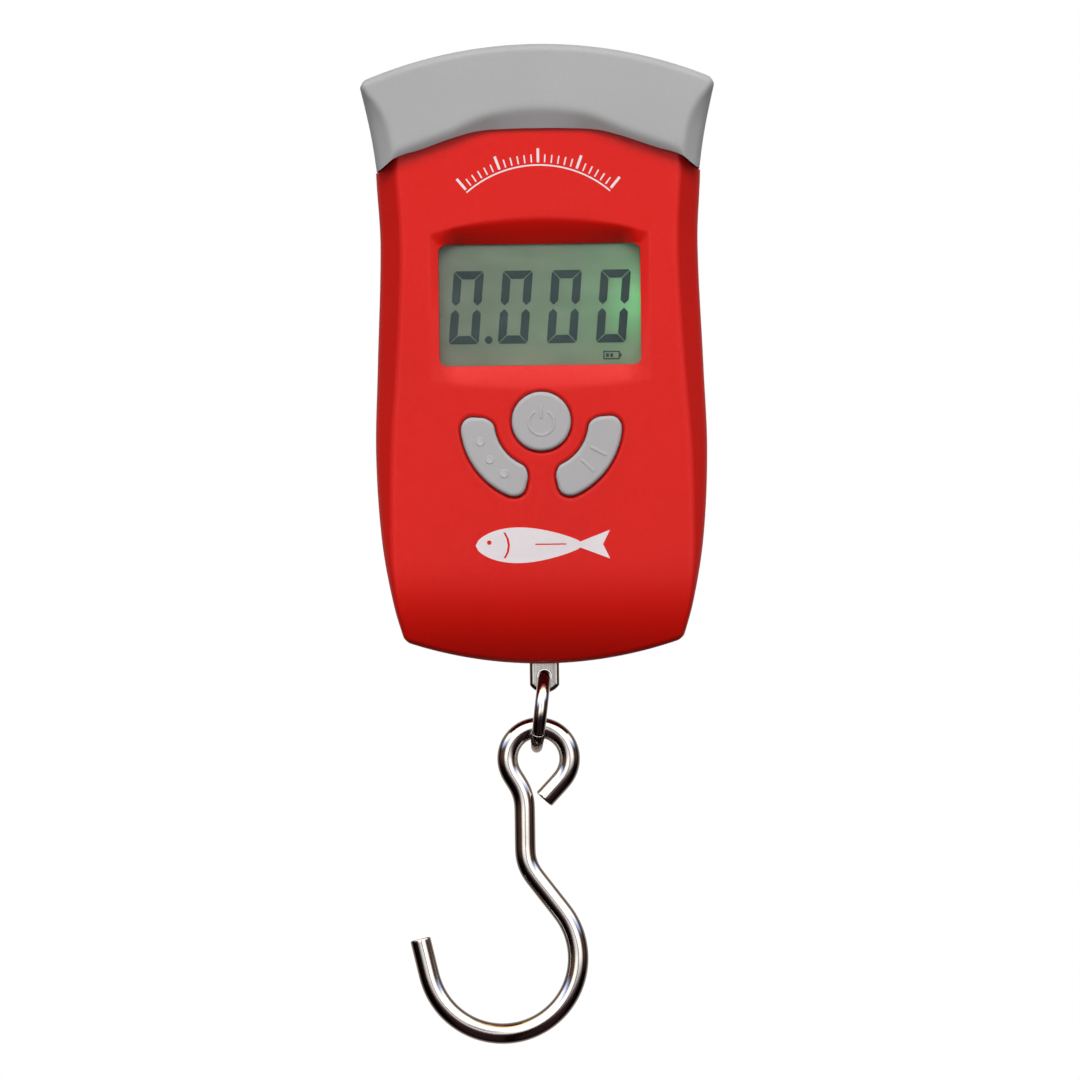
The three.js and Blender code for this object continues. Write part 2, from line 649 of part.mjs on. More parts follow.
function display() {
  const group = new THREE.Group();
  const middle = (WINDOW_TOP + WINDOW_BOTTOM) / 2;
  const paneShape = roundedRectangle(
    2 * (WINDOW_HALF_WIDTH - GAP),
    WINDOW_BOTTOM - WINDOW_TOP - 2 * GAP,
    1.3,
  );
  const pane = plate(paneShape, PANE_FRONT, PANE_FRONT + PANE_THICKNESS, { curveSegments: 3 });
  group.add(placed(piece("lcd_window", pane, "clearPane"), 0, 0, middle));
  const panelFront = PANE_FRONT + PANE_THICKNESS + GAP;
  const panelBack = panelFront + PANEL_THICKNESS;
  const boardSide = BOARD_FRONT - GAP;
  const panel = block([-18.4, 18.4], [panelFront, panelBack], [WINDOW_TOP + 0.4, WINDOW_BOTTOM - 0.4]);
  group.add(piece("lcd_panel", panel, "display"));
  const holder = cut(
    block([-18.4, 18.4], [panelBack + GAP, boardSide], [38, 57.6]),
    block([-16.8, 16.8], [-12, 0], [39.6, 56]),
  );
  group.add(piece("lcd_holder", holder, "whitePlastic"));
  const diffuser = block([-16.4, 14.6], [panelBack + GAP, panelBack + 1.6], [40, 55.6]);
  group.add(piece("backlight_diffuser", diffuser, "clearPane"));
  const led = block([15, 16.4], [panelBack + GAP, boardSide], [46.3, 49.3]);
  group.add(piece("backlight_led", led, "ledGreen"));
  const strip = block([-15.5, 15.5], [panelBack + GAP, boardSide], [57.9, 59.4]);
  group.add(piece("zebra_strip", strip, "blackRubber"));
  return group;
}

function board() {
  const group = new THREE.Group();
  const back = BOARD_FRONT + BOARD_THICKNESS;
  const sheet = cut(
    block([-BOARD_HALF_WIDTH, BOARD_HALF_WIDTH], [BOARD_FRONT, back], [BOARD_TOP, BOARD_BOTTOM]),
    ...BOARD_SCREWS.map(([x, below]) => rod(SHANK_HOLE, -5, 0, x, below, 12)),
  );
  group.add(piece("circuit_board", sheet, "boardGreen"));
  const seat = BOARD_FRONT - GAP;
  const blob = [[0, 0], [3.1, 0], [3, -0.4], [2.2, -1], [1, -1.3], [0, -1.35]];
  group.add(placed(piece("main_chip", turned(blob, 16), "chipBlack"), -14.2, seat, 69.6));
  group.add(piece("adc_chip", block([12.4, 16.4], [seat - 1.5, seat], [67, 72]), "chipBlack"));
  const can = new THREE.CylinderGeometry(1, 1, 6, 12).rotateX(Math.PI / 2);
  group.add(placed(piece("crystal", can, "plating"), -17, seat - 1, 79));
  const capacitor = new THREE.CylinderGeometry(2, 2, 4.4, 14);
  group.add(placed(piece("filter_capacitor", capacitor, "plating"), 15.8, seat - 2.2, 83.6));
  return group;
}

// ---- Keys ----

const SIDE_NAMES = { "-1": "left", 0: "power", 1: "right" };

function powerKey() {
  const flange = POWER_RADIUS + FLANGE_WIDTH;
  const profile = [
    [0, STEM_END], [STEM_RADIUS, STEM_END], [STEM_RADIUS, FLANGE_BACK], [flange, FLANGE_BACK],
    [flange, FLANGE_FRONT], [POWER_RADIUS, FLANGE_FRONT], [POWER_RADIUS, KEY_FRONT + KEY_EDGE],
    [POWER_RADIUS - 0.15, KEY_FRONT + 0.2], [POWER_RADIUS - KEY_EDGE, KEY_FRONT], [0, KEY_FRONT],
  ];
  return solid(turned(profile, 24)).translate([0, 0, level(KEYS_BELOW)]);
}

function crescentKey(side) {
  const [x, below] = keyPlace(side);
  const cap = plate(crescentOutline(side, 0), KEY_FRONT + KEY_EDGE, FLANGE_BACK, {
    bevelEnabled: true,
    bevelThickness: KEY_EDGE,
    bevelSize: KEY_EDGE,
    bevelOffset: -KEY_EDGE,
    bevelSegments: 1,
  });
  const flange = plate(crescentOutline(side, FLANGE_WIDTH), FLANGE_FRONT, FLANGE_BACK);
  const stem = rod(STEM_RADIUS, FLANGE_BACK - 0.5, STEM_END, x, below, 14);
  return join(cap.intersect(block([-20, 20], [-14, FLANGE_BACK], [60, 90])), flange, stem);
}

function keys() {
  const group = new THREE.Group();
  const switchBack = BOARD_FRONT - GAP;
  const switchFront = switchBack - SWITCH_HEIGHT;
  for (const side of [0, -1, 1]) {
    const [x, below] = keyPlace(side);
    const name = SIDE_NAMES[side];
    group.add(piece(`${name}_key`, side === 0 ? powerKey() : crescentKey(side), "keyPlastic"));
    const half = SWITCH_SIZE / 2;
    const housing = cut(
      block([-half, half], [switchFront, switchBack], [-half, half]),
      rod(PLUNGER_RADIUS + GAP, switchFront - 1, switchBack - 1.2, 0, 0, 14),
    ).translate([x, 0, level(below) - level(0)]);
    group.add(piece(`${name}_switch`, housing, "chipBlack"));
    const plunger = rod(PLUNGER_RADIUS, STEM_END + GAP, STEM_END + GAP + 1.5, x, below, 14);
    group.add(piece(`${name}_plunger`, plunger, "whitePlastic"));
  }
  return group;
}

// ---- Batteries and contacts ----

// An AAA cell along Z, centred, with its nub up.
function cell() {
  const half = CELL_LENGTH / 2;
  const shoulder = half - CELL_NUB;
  const profile = [
    [0, half], [1.9, half], [1.9, shoulder], [CELL_RADIUS - 0.5, shoulder], [CELL_RADIUS, shoulder - 0.5],
    [CELL_RADIUS, 0.5 - half], [CELL_RADIUS - 0.5, -half], [0, -half],
  ];
  return turned(profile, 16).rotateX(Math.PI / 2);
}

function batteries() {
  const group = new THREE.Group();
  const half = CELL_LENGTH / 2;
  group.add(placed(piece("battery_left", cell(), "cellWrap"), -CELL_X, CELL_Y, 33.4 + half));
  const flipped = placed(piece("battery_right", cell(), "cellWrap"), CELL_X, CELL_Y, 83.4 - half);
  flipped.rotation.x = Math.PI;
  group.add(flipped);
  const tab = (x0, x1) => block([x0, x1], [0, 9.4], [32.7, 33.1]);
  const tail = (x) => block([x - 1, x + 1], [3, 4], [29.3, 33]);
  group.add(piece("positive_contact", join(tab(-11, -1.2), tail(-7)), "plating"));
  group.add(piece("negative_contact", join(tab(1.2, 11), tail(7)), "plating"));
  group.add(piece("bridge_contact", block([-11.4, 11.4], [0, 9.4], [83.7, 84.1]), "plating"));
  const spring = () => wire(new Coil(3.6, 2.2, 4, 3.25), 0.3, 6, 36);
  group.add(placed(piece("bridge_spring", spring(), "plating"), -CELL_X, CELL_Y, 82.9));
  const upper = placed(piece("negative_spring", spring(), "plating"), CELL_X, CELL_Y, 33.9);
  upper.rotation.x = Math.PI;
  group.add(upper);
  return group;
}

const point = (x, y, below) => new THREE.Vector3(x, y, level(below));
const lead = (points) => wire(new THREE.CatmullRomCurve3(points), 0.4, 6, 12);

function leads() {
  const group = new THREE.Group();
  const route = [[2.2, 30.2], [0.8, 29.2], [-0.8, 28.8], [-2.4, 28.6]];
  const fromContact = (x) => lead(route.map(([y, below]) => point(x, y, below)));
  group.add(piece("battery_wire_positive", fromContact(-TAB_X), "redWire"));
  group.add(piece("battery_wire_negative", fromContact(TAB_X), "blackWire"));
  const finishes = ["redWire", "greenWire", "whiteWire", "blackWire"];
  const starts = [-6.6, -4.6, 4.6, 6.6];
  const ends = [-3, -1, 1, 3];
  finishes.forEach((finish, n) => {
    const up = [
      point(starts[n], -4.3, 97),
      point(starts[n] * 0.85, -4.9, 95),
      point(ends[n], -5.2, 91.5),
      point(ends[n], -5.2, 88),
      point(ends[n], -4.7, 84.6),
    ];
    group.add(piece(`gauge_wire_${n + 1}`, lead(up), finish));
  });
  return group;
}

// ---- Load cell and hanging gear ----

function loadCell() {
  const depth = CELL_PLATE_HALF_DEPTH;
  const wide = CELL_PLATE_HALF_WIDTH;
  return cut(
    block([-wide, wide], [-depth, depth], [CELL_PLATE_TOP, CELL_PLATE_BOTTOM]),
    block([-wide - 1, 8], [-9, 9], [94, 95]),
    block([-8, wide + 1], [-9, 9], [102.6, 103.6]),
    rod(2.2, -9, 9, 0, 98.8, 20),
    block([-3.1, 3.1], [-TONGUE_HALF_DEPTH - GAP, TONGUE_HALF_DEPTH + GAP], [104.6, 112]),
    rod(1 + GAP, -9, 9, 0, PIN_BELOW, 12),
    ...LOAD_SCREWS.map(([x, below]) => rod(SHANK_HOLE, -9, 9, x, below, 12)),
  );
}

function tongue() {
  const end = level(TONGUE_HOLE_BELOW);
  const shape = new THREE.Shape();
  shape.moveTo(TONGUE_HALF_WIDTH, level(TONGUE_TOP));
  shape.lineTo(-TONGUE_HALF_WIDTH, level(TONGUE_TOP));
  const lean = Math.acos(TONGUE_HALF_WIDTH / TONGUE_END_RADIUS);
  shape.absarc(0, end, TONGUE_END_RADIUS, Math.PI + lean, 2 * Math.PI - lean);
  return cut(
    plate(shape, -TONGUE_HALF_DEPTH, TONGUE_HALF_DEPTH, { curveSegments: 10 }),
    rod(TONGUE_HOLE_RADIUS, -5, 5, 0, TONGUE_HOLE_BELOW, 18),
    rod(1 + GAP, -5, 5, 0, PIN_BELOW, 12),
  );
}

// The ring about its own wire at the top, in the YZ plane. The ends of its wire almost meet at the front.
class RingLine extends THREE.Curve {
  getPoint(t) {
    const seam = radians(215);
    const clearance = 0.03;
    const angle = seam + clearance + (2 * Math.PI - 2 * clearance) * t;
    return new THREE.Vector3(0, RING_RADIUS * Math.cos(angle), RING_RADIUS * (Math.sin(angle) - 1));
  }
}

function hookLine() {
  const runs = [
    ["straight", 5],
    ["left", HOOK_EYE_RADIUS, 256],
    ["straight", 1.56],
    ["right", 8.4, 33],
    ["straight", 8.2],
    ["left", 7.5, 37.5],
    ["straight", 8.5],
    ["right", 14.1, 204.5],
    ["straight", 6.7],
  ];
  const heading = 47;
  const start = radians(heading - 90);
  const entry = new THREE.Vector2(
    HOOK_EYE_X + HOOK_EYE_RADIUS * Math.cos(start) - 5 * Math.cos(radians(heading)),
    level(HOOK_EYE_BELOW) + HOOK_EYE_RADIUS * Math.sin(start) - 5 * Math.sin(radians(heading)),
  );
  return new BentLine(entry, heading, runs);
}

function hanger() {
  const group = new THREE.Group();
  group.add(piece("load_cell", loadCell(), "aluminium"));
  const face = -CELL_PLATE_HALF_DEPTH - GAP;
  group.add(piece("gauge_left", block([-8, -3.4], [face - 0.3, face], [96.4, 101.2]), "gauge"));
  group.add(piece("gauge_right", block([3.4, 8], [face - 0.3, face], [96.4, 101.2]), "gauge"));
  group.add(piece("hanger_pin", rod(1, -2.9, 2.9, 0, PIN_BELOW, 14), "steel"));
  group.add(piece("hanger_tongue", tongue(), "steel"));
  const ring = piece("link_ring", wire(new RingLine(), RING_WIRE, 8, 32), "steel");
  ring.rotation.y = radians(RING_TILT);
  group.add(placed(ring, 0, 0, RING_BELOW));
  group.add(piece("hook", wire(hookLine(), HOOK_WIRE, 10, 64), "steel"));
  return group;
}

// ---- Assembly ----

const scale = new THREE.Group();
scale.add(piece("front_cover", frontCover(), "redPlastic"));
scale.add(piece("rear_cover", rearCover(), "redPlastic"));
scale.add(piece("grip_cap", gripCap(), "greyPlastic"));
scale.add(piece("battery_door", batteryDoor(), "redPlastic"));
scale.add(screws(), display(), board(), keys(), batteries(), leads(), hanger());

export default scale;
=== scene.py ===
import math

import bmesh
import bpy
import numpy as np
from mathutils import Matrix, Vector


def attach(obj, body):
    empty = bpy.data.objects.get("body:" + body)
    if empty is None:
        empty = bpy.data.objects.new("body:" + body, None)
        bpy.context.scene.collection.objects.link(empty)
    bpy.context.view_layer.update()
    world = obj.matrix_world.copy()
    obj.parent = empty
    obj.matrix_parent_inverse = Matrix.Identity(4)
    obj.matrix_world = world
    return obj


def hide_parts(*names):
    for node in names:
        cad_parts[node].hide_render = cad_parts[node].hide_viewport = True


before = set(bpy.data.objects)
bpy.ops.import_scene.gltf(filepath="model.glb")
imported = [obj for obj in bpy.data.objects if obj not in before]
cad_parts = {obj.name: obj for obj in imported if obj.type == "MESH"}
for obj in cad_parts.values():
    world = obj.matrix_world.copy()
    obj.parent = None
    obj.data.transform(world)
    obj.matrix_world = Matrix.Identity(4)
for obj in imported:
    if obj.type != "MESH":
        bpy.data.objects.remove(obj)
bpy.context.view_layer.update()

# A hand-held digital fish scale. Shapes are worked out in millimetres, in the frame of the CAD part: +X to
# the right as read, the front towards -Y, +Z up. "below" is the distance down from the top of the grip.

MM = 0.001
GRIP_CENTRE_BELOW = 12.0
GAP = 0.3
WALL = 1.8
PARTING = 0.15  # each cover stops this far from the middle plane
# Clear of the case to either side, to the front and back, and below it, for tools that cut right through
BEYOND = 40
DEEP = 20
BELOW_CASE = 120

# Case: stations are (below, size).
CASE_BOTTOM = 115.3
CASE_BOTTOM_ARC = 79.0
CASE_HALF_DEPTH = 12.5
CASE_HALF_WIDTHS = ((9, 30.2), (23.6, 30.2), (37, 29.55), (60, 30.35), (76, 30.85), (92, 29.95), (104, 27.9),
                    (112, 25.6))
CASE_BEVELS = ((9, 3.7), (55, 3.7), (85, 2.4), (107, 0.3), (118, 0.3))
CASE_BEVEL_SLOPE = 1.35
CASE_EDGE = 0.9  # rounding where the faces meet the side walls
CASE_CORNER = 0.9  # in front view
CURVE_START = 95.0
CURVE_IN = 6.0
CURVE_POWER = 2.65
SHOULDER = 23.6
NECK_TOP = 9.0
NECK_HALF_WIDTH = 27.4
HOLLOW_STATIONS = (CASE_BOTTOM + 1, 114, 111.5, 108.5, 105.5, 102, CURVE_START, 91, 83, 74, 66, 56, 46, 36,
                   26)
BEVEL_SOFT = 0.45  # half width of the soft bend where a bevel starts

# Grip cap
GRIP_TOP_ARC = 84.0
GRIP_HEIGHT = 23.3
GRIP_HALF_DEPTH = 15.5
GRIP_HALF_WIDTHS = ((-2, 35.3), (8, 32.9), (14.7, 31.4), (19.2, 30.6), (24, 29.95))
GRIP_BEVELS = ((-2, 0.2), (7.6, 0.3), (8.7, 1), (10.8, 2.3), (13.9, 3.3), (18, 3.6), (24, 3.7))
GRIP_BEVEL_SLOPE = 0.95
GRIP_BEVEL_SOFT = 0.7
GRIP_EDGE = 1.3
GRIP_CORNER = 1.4
GRIP_WALL = 2.75
GRIP_ROOF = 3.0
CAVITY_HALF_WIDTH = 27.8
ARCH_EDGE = ((-5, 12.1), (0, 11.7), (5, 12.1), (10.7, 13.4), (16.4, 15.9), (21, 17.6), (24, 18.7),
             (26.6, 19.9), (29.8, 22.6), (36, 25.4))
ARCH_FOOT = ((-5, 15.7), (0, 15.65), (5, 15.7), (11.2, 16.1), (16.4, 17.5), (21.5, 19.3), (26.6, 20.9),
             (29.8, 23.3), (36, 26))
FOOT_END = 29.8  # distance from the middle where the foot line reaches the grip's lower end
ARCH_SOFT = 1.2  # half width of the soft bend along the arch
LIP_DEPTH = 2.15
LIP_LEAST_WIDTH = 3.0
LIP_SOFT = 0.4  # half width of the soft bend where the bevel meets the lip

# Window
WINDOW_HALF_WIDTH = 18.8
WINDOW_TOP = 37.1
WINDOW_BOTTOM = 59.8
WINDOW_CORNER = 1.5
WINDOW_FRAME = ((-22.4, 22.4), (-12, -8.7), (31.4, 62.9))  # the wall is thicker here
RECESS_HALF_WIDTH = 20.6
RECESS_TOP = 32.25
RECESS_BOTTOM = 64.1
RECESS_ARCH = 2.8
RECESS_BOTTOM_ARCH = 1.6
RECESS_DEPTH = 3.2
RECESS_BOTTOM_DEPTH = 0.85
RECESS_SIDE_SHARE = 0.25
RECESS_STEEPENING = 1.3  # the slopes get steeper towards the window
RECESS_SOFTNESS = 0.14

# Keys: a round one and two crescents about its middle, which run from one angle to another.
KEYS_BELOW = 70.2
KEYS_END = 89.0
POWER_RADIUS = 5.5
CRESCENT_INNER = 8.8
CRESCENT_OUTER = 15.1
CRESCENT_FROM = 4.0
CRESCENT_TO = -76.0
CRESCENT_CORNER = 2.4
CRESCENT_MIDDLE = (CRESCENT_INNER + CRESCENT_OUTER) / 2
CRESCENT_CENTRE = math.radians((CRESCENT_FROM + CRESCENT_TO) / 2)
CRESCENT_HALF_LENGTH = math.radians(CRESCENT_FROM - CRESCENT_TO) * CRESCENT_MIDDLE / 2
CRESCENT_HALF_HEIGHT = (CRESCENT_OUTER - CRESCENT_INNER) / 2
KEY_FRONT = -13.4
FLANGE_FRONT = -10.4
FLANGE_BACK = -9.4
FLANGE_WIDTH = 0.9
STEM_RADIUS = 1.6
STEM_END = -8.4
KEY_RIM = 0.6  # rounding of the case round each key
KEY_GAP = 0.14

# Screws: (x, below)
CASE_SCREWS = ((-22, 38), (22, 38), (-20, 102.5), (20, 102.5))
GRIP_SCREWS = ((-21, 12.3), (21, 12.3))
BOARD_SCREWS = ((-16, 63), (16, 63))
LOAD_SCREWS = ((-9, 91.2), (9, 91.2))
SHANK = 1.2
SHANK_HOLE = 1.5
HEAD = 2.6
HEAD_HOLE = 2.9
CASE_SEAT = 9.2
CASE_HEAD_HEIGHT = 2.2
GRIP_SEAT = 13.8
GRIP_HEAD_HEIGHT = 1.2
# Bosses and the holes in them: (screws, radius, from y, to y)
FRONT_BOSSES = ((CASE_SCREWS, 3, -11.2, 1), (BOARD_SCREWS, 2.2, -11.2, -3.9 - GAP))
FRONT_HOLES = ((CASE_SCREWS, SHANK_HOLE, -9, 1), (BOARD_SCREWS, SHANK_HOLE, -9.8, 0))
REAR_BOSSES = ((CASE_SCREWS, 3.2, -1, 11.2), (GRIP_SCREWS, 2.6, 3, 11.4), (LOAD_SCREWS, 3.2, 3 + GAP, 11.2))
REAR_HOLES = ((CASE_SCREWS, SHANK_HOLE, 0, 14), (GRIP_SCREWS, SHANK_HOLE, 0, 14),
              (LOAD_SCREWS, SHANK_HOLE, 0, 9.5))
CAP_HOLES = ((GRIP_SCREWS, SHANK_HOLE, 12, 17),)

# Battery bay and door
BAY_HALF_WIDTH = 12.4
BAY_TOP = 32.4
BAY_BOTTOM = 84.4
BAY_FLOOR = -0.6
BAY_WALL = 1.2
DOOR_HALF_WIDTH = 14.6
DOOR_TOP = 30.2
DOOR_BOTTOM = 86.4
DOOR_THICKNESS = 1.6
DOOR_FRAME = ((-16.6, 16.6), (8.6, 12), (27.6, 88.6))  # the wall is thicker here
DOOR_TABS = (-7, 7)
# Slots at each tab: (half width, y, below). One is for the tab and one for the tail of the contact below it.
TAB_SLOTS = ((2.4, (9.9, 11.9), (28.5, DOOR_TOP + 1.7)), (1.4, (2.4, 4.6), (BAY_TOP - 2, BAY_TOP + 1)))
RIBS = 5
RIB_BELOW = 82.0
RIB_PITCH = 1.9
RIB_WIDTH = 0.8
RIB_HALF_LENGTH = 5
RIB_SHORTENING = 0.5

# Hanging gear
TONGUE_HALF_WIDTH = 2.75
TONGUE_HALF_DEPTH = 1.1
TONGUE_TOP = 105.0
TONGUE_HOLE_BELOW = 117.5
TONGUE_HOLE_GAP = 0.11
TONGUE_END_RADIUS = 3.3
TONGUE_EDGE = 0.75
TONGUE_SLOT = (110, 118)
PIN_BELOW = 107.0
PIN_RADIUS = 1
RING_RADIUS = 6.64
RING_WIRE = 1.25
RING_TILT = 7.0
RING_BELOW = 117.7
RING_SEAM = 215.0
RING_SEAM_GAP = 0.02  # the angle left open on each side of the seam
HOOK_WIRE = 1.97
HOOK_EYE = (-1.3, 133.1)
HOOK_EYE_RADIUS = 5.85
HOOK_HEADING = 47.0
HOOK_RUNS = (("straight", 5, 0), ("left", HOOK_EYE_RADIUS, 256), ("straight", 1.56, 0), ("right", 8.4, 33),
             ("straight", 8.2, 0), ("left", 7.5, 37.5), ("straight", 8.5, 0), ("right", 14.1, 204.5),
             ("straight", 7.2, 0))
HOOK_LIFT = 0.05
HOOK_STEP = 0.4

FACE_ANGLE = math.radians(40)  # sharper edges than this keep a crease in the shading


# ---- Curves and surfaces in numbers ----

def smooth_step(t):
    return t * t * (3 - 2 * t)


def along(stations, below):
    """A smooth line through (below, size) stations, for numbers or arrays."""
    xs, ys = np.array(stations, float).T
    last = len(xs) - 1
    inside = np.clip(below, xs[0], xs[last])
    k = np.clip(np.searchsorted(xs, inside, side="right") - 1, 0, last - 1)
    before, after = np.maximum(k - 1, 0), np.minimum(k + 2, last)
    run = xs[k + 1] - xs[k]
    start_slope = (ys[k + 1] - ys[before]) / (xs[k + 1] - xs[before]) * run
    end_slope = (ys[after] - ys[k]) / (xs[after] - xs[k]) * run
    t = (inside - xs[k]) / run
    straight = ys[k] + (ys[k + 1] - ys[k]) * smooth_step(t)
    return straight + start_slope * t * (1 - t) ** 2 - end_slope * t * t * (1 - t)


def level(below):
    return GRIP_CENTRE_BELOW - below


def towards(angle):
    return np.array([math.cos(angle), math.sin(angle)])


def distances(points):
    """How far along a line of points each of them is."""
    return np.concatenate([[0], np.cumsum(np.linalg.norm(np.diff(points, axis=0), axis=1))])


def soft_rise(value, width):
    """0 below -width, the value itself above width, and a smooth bend between."""
    bend = (value + width) ** 2 / (4 * width)
    return np.where(value < -width, 0, np.where(value > width, value, bend))


def rounding(distance, radius):
    """How far a rounded edge has dropped at a distance in from the edge."""
    inside = np.clip(1 - distance / radius, 0, 1)
    return radius * (1 - np.sqrt(1 - inside ** 2))


def spread(length, step, fine_start=False, fine_end=False):
    """Distances from 0 to length about a step apart, closer together near an end that carries a rounding."""
    fine = np.array([0.06, 0.16, 0.3, 0.48, 0.7, 0.95, 1.25, 1.6])
    first = fine[-1] if fine_start else 0.0
    final = length - fine[-1] if fine_end else length
    places = [[0.0, length], np.linspace(first, final, max(1, math.ceil((final - first) / step)) + 1)]
    if fine_start:
        places.append(fine)
    if fine_end:
        places.append(length - fine)
    return np.unique(np.round(np.concatenate(places), 6))


def both_sides(half):
    """Column positions from the middle out to one side, mirrored to the other side too."""
    return np.concatenate([-half[:0:-1], half])


def square_to_round(side, end, radius):
    """Moves points near a corner so that it is round. side and end are distances from the two edges."""
    a = np.clip(radius - side, 0, radius)
    b = np.clip(radius - end, 0, radius)
    moved_a = a * np.sqrt(1 - b ** 2 / (2 * radius ** 2))
    moved_b = b * np.sqrt(1 - a ** 2 / (2 * radius ** 2))
    near = (side < radius) & (end < radius)
    new_side = np.where(near, radius - moved_a, side)
    new_end = np.where(near, radius - moved_b, end)
    edge = np.where(near, radius - np.hypot(moved_a, moved_b), np.minimum(side, end))
    return new_side, new_end, np.maximum(edge, 0)


def case_half_width(below):
    return along(CASE_HALF_WIDTHS, below)


def case_half_depth(below):
    t = np.maximum(0, (below - CURVE_START) / (CASE_BOTTOM - CURVE_START))
    return CASE_HALF_DEPTH - CURVE_IN * t ** CURVE_POWER


def case_bottom(x, inset=0.0):
    arc = CASE_BOTTOM_ARC - inset
    return CASE_BOTTOM - inset - (arc - np.sqrt(arc ** 2 - x ** 2))


def crescent_distance(x, below):
    """Distance outside the nearer crescent key's outline, less than 0 inside it."""
    radius = np.hypot(x, KEYS_BELOW - below)
    angle = np.arctan2(KEYS_BELOW - below, np.abs(x))
    across = np.abs((angle - CRESCENT_CENTRE) * CRESCENT_MIDDLE) - CRESCENT_HALF_LENGTH + CRESCENT_CORNER
    outward = np.abs(radius - CRESCENT_MIDDLE) - CRESCENT_HALF_HEIGHT + CRESCENT_CORNER
    outside = np.hypot(np.maximum(across, 0), np.maximum(outward, 0))
    return outside + np.minimum(np.maximum(across, outward), 0) - CRESCENT_CORNER


def key_distance(x, below):
    power = np.hypot(x, below - KEYS_BELOW) - POWER_RADIUS
    return np.minimum(power, crescent_distance(x, below)) - KEY_GAP


def recess_top(x):
    return RECESS_TOP + RECESS_ARCH * np.minimum(np.abs(x) / RECESS_HALF_WIDTH, 1) ** 2


def recess_bottom(x):
    return RECESS_BOTTOM - RECESS_BOTTOM_ARCH * np.minimum(np.abs(x) / RECESS_HALF_WIDTH, 1) ** 2


def recess_drop(x, below):
    """How far the recess round the window lies below the case's face. It is deepest just above the window."""
    top, bottom, side = recess_top(x), recess_bottom(x), np.abs(x)
    shares = np.stack([
        (below - top) / (WINDOW_TOP - top),
        (bottom - below) / (bottom - WINDOW_BOTTOM),
        (RECESS_HALF_WIDTH - side) / (RECESS_HALF_WIDTH - WINDOW_HALF_WIDTH),
    ])
    share = -RECESS_SOFTNESS * np.log(np.exp(-np.clip(shares, -3, 3) / RECESS_SOFTNESS).sum(0))
    down = np.clip((below - WINDOW_TOP) / (WINDOW_BOTTOM - WINDOW_TOP), 0, 1)
    depth = RECESS_DEPTH + (RECESS_BOTTOM_DEPTH - RECESS_DEPTH) * smooth_step(down)
    aside = np.clip((side - 0.8 * WINDOW_HALF_WIDTH) / (0.2 * WINDOW_HALF_WIDTH), 0, 1)
    depth = depth * (1 - (1 - RECESS_SIDE_SHARE) * smooth_step(aside))
    return depth * np.minimum(soft_rise(share, RECESS_SOFTNESS), 1) ** RECESS_STEEPENING


def case_face(x, below, edge):
    """Half depth of the case's outside at points that lie a distance in from its outline."""
    side = case_half_width(below) - np.abs(x)
    drop = CASE_BEVEL_SLOPE * soft_rise(along(CASE_BEVELS, below) - side, BEVEL_SOFT)
    return case_half_depth(below) - drop - rounding(edge, CASE_EDGE)


def grip_top(x):
    return GRIP_TOP_ARC - np.sqrt(GRIP_TOP_ARC ** 2 - np.asarray(x) ** 2)


def arch_edge(x):
    return along(ARCH_EDGE, np.abs(x))


def arch_foot(x):
    return np.minimum(along(ARCH_FOOT, np.abs(x)), GRIP_HEIGHT)


def grid_on_lines(lines, shares, columns_at):
    """Points (x, below) in rows that follow the given lines. Each line gives a height below for an x, shares
    hold the rows from each line to the next, and columns_at gives every column's x for a grid's heights."""
    segment = np.concatenate([np.full(len(s) - 1, n) for n, s in enumerate(shares)] + [[len(shares) - 1]])
    share = np.concatenate([s[:-1] for s in shares] + [[1.0]])[:, None]
    rows = np.arange(len(segment))
    below = np.full((len(rows), 1), CASE_BOTTOM / 2)
    for _ in range(6):
        x = columns_at(below)
        heights = np.stack([line(x) + 0 * x for line in lines])
        below = heights[segment, rows] * (1 - share) + heights[segment + 1, rows] * share
    return columns_at(below), below


# ---- Outlines: lists of (x, below) points ----

def circle(x, below, radius, sides=48):
    turns = [2 * math.pi * n / sides for n in range(sides)]
    return [(x + radius * math.cos(a), below + radius * math.sin(a)) for a in turns]


def rounded_box(x0, x1, below0, below1, corner, steps=8):
    points = []
    for cx, cb, start in ((x1 - corner, below0 + corner, -90), (x1 - corner, below1 - corner, 0),
                          (x0 + corner, below1 - corner, 90), (x0 + corner, below0 + corner, 180)):
        for n in range(steps + 1):
            angle = math.radians(start + 90 * n / steps)
            points.append((cx + corner * math.cos(angle), cb + corner * math.sin(angle)))
    return points


def arc_band(radius, width, start, end, below, steps=40):
    """A band along an arc about (0, below), from start to end degrees clockwise from straight up."""
    points = []
    for out, order in ((width / 2, range(steps + 1)), (-width / 2, range(steps, -1, -1))):
        for n in order:
            angle = math.radians(start + (end - start) * n / steps)
            points.append(((radius + out) * math.sin(angle), below - (radius + out) * math.cos(angle)))
    return points


def crescent_point(side, angle, radius):
    return side * radius * math.cos(angle), KEYS_BELOW - radius * math.sin(angle)


def crescent_outline(side, grow=0.0):
    """A rounded bar, bent about the middle of the round key."""
    half_length, half_height = CRESCENT_HALF_LENGTH + grow, CRESCENT_HALF_HEIGHT + grow
    corners = rounded_box(-half_length, half_length, -half_height, half_height, CRESCENT_CORNER + grow, 10)
    points = []
    for start, end in zip(corners, corners[1:] + corners[:1]):
        pieces = max(1, round(math.dist(start, end) / 0.45))
        for n in range(pieces):
            across, out = (a + (b - a) * n / pieces for a, b in zip(start, end))
            turn = CRESCENT_CENTRE + across / CRESCENT_MIDDLE
            points.append(crescent_point(side, turn, CRESCENT_MIDDLE + out))
    return points


def shifted(points, x, below):
    return [(x + a, below + b) for a, b in points]


# ---- Meshes ----

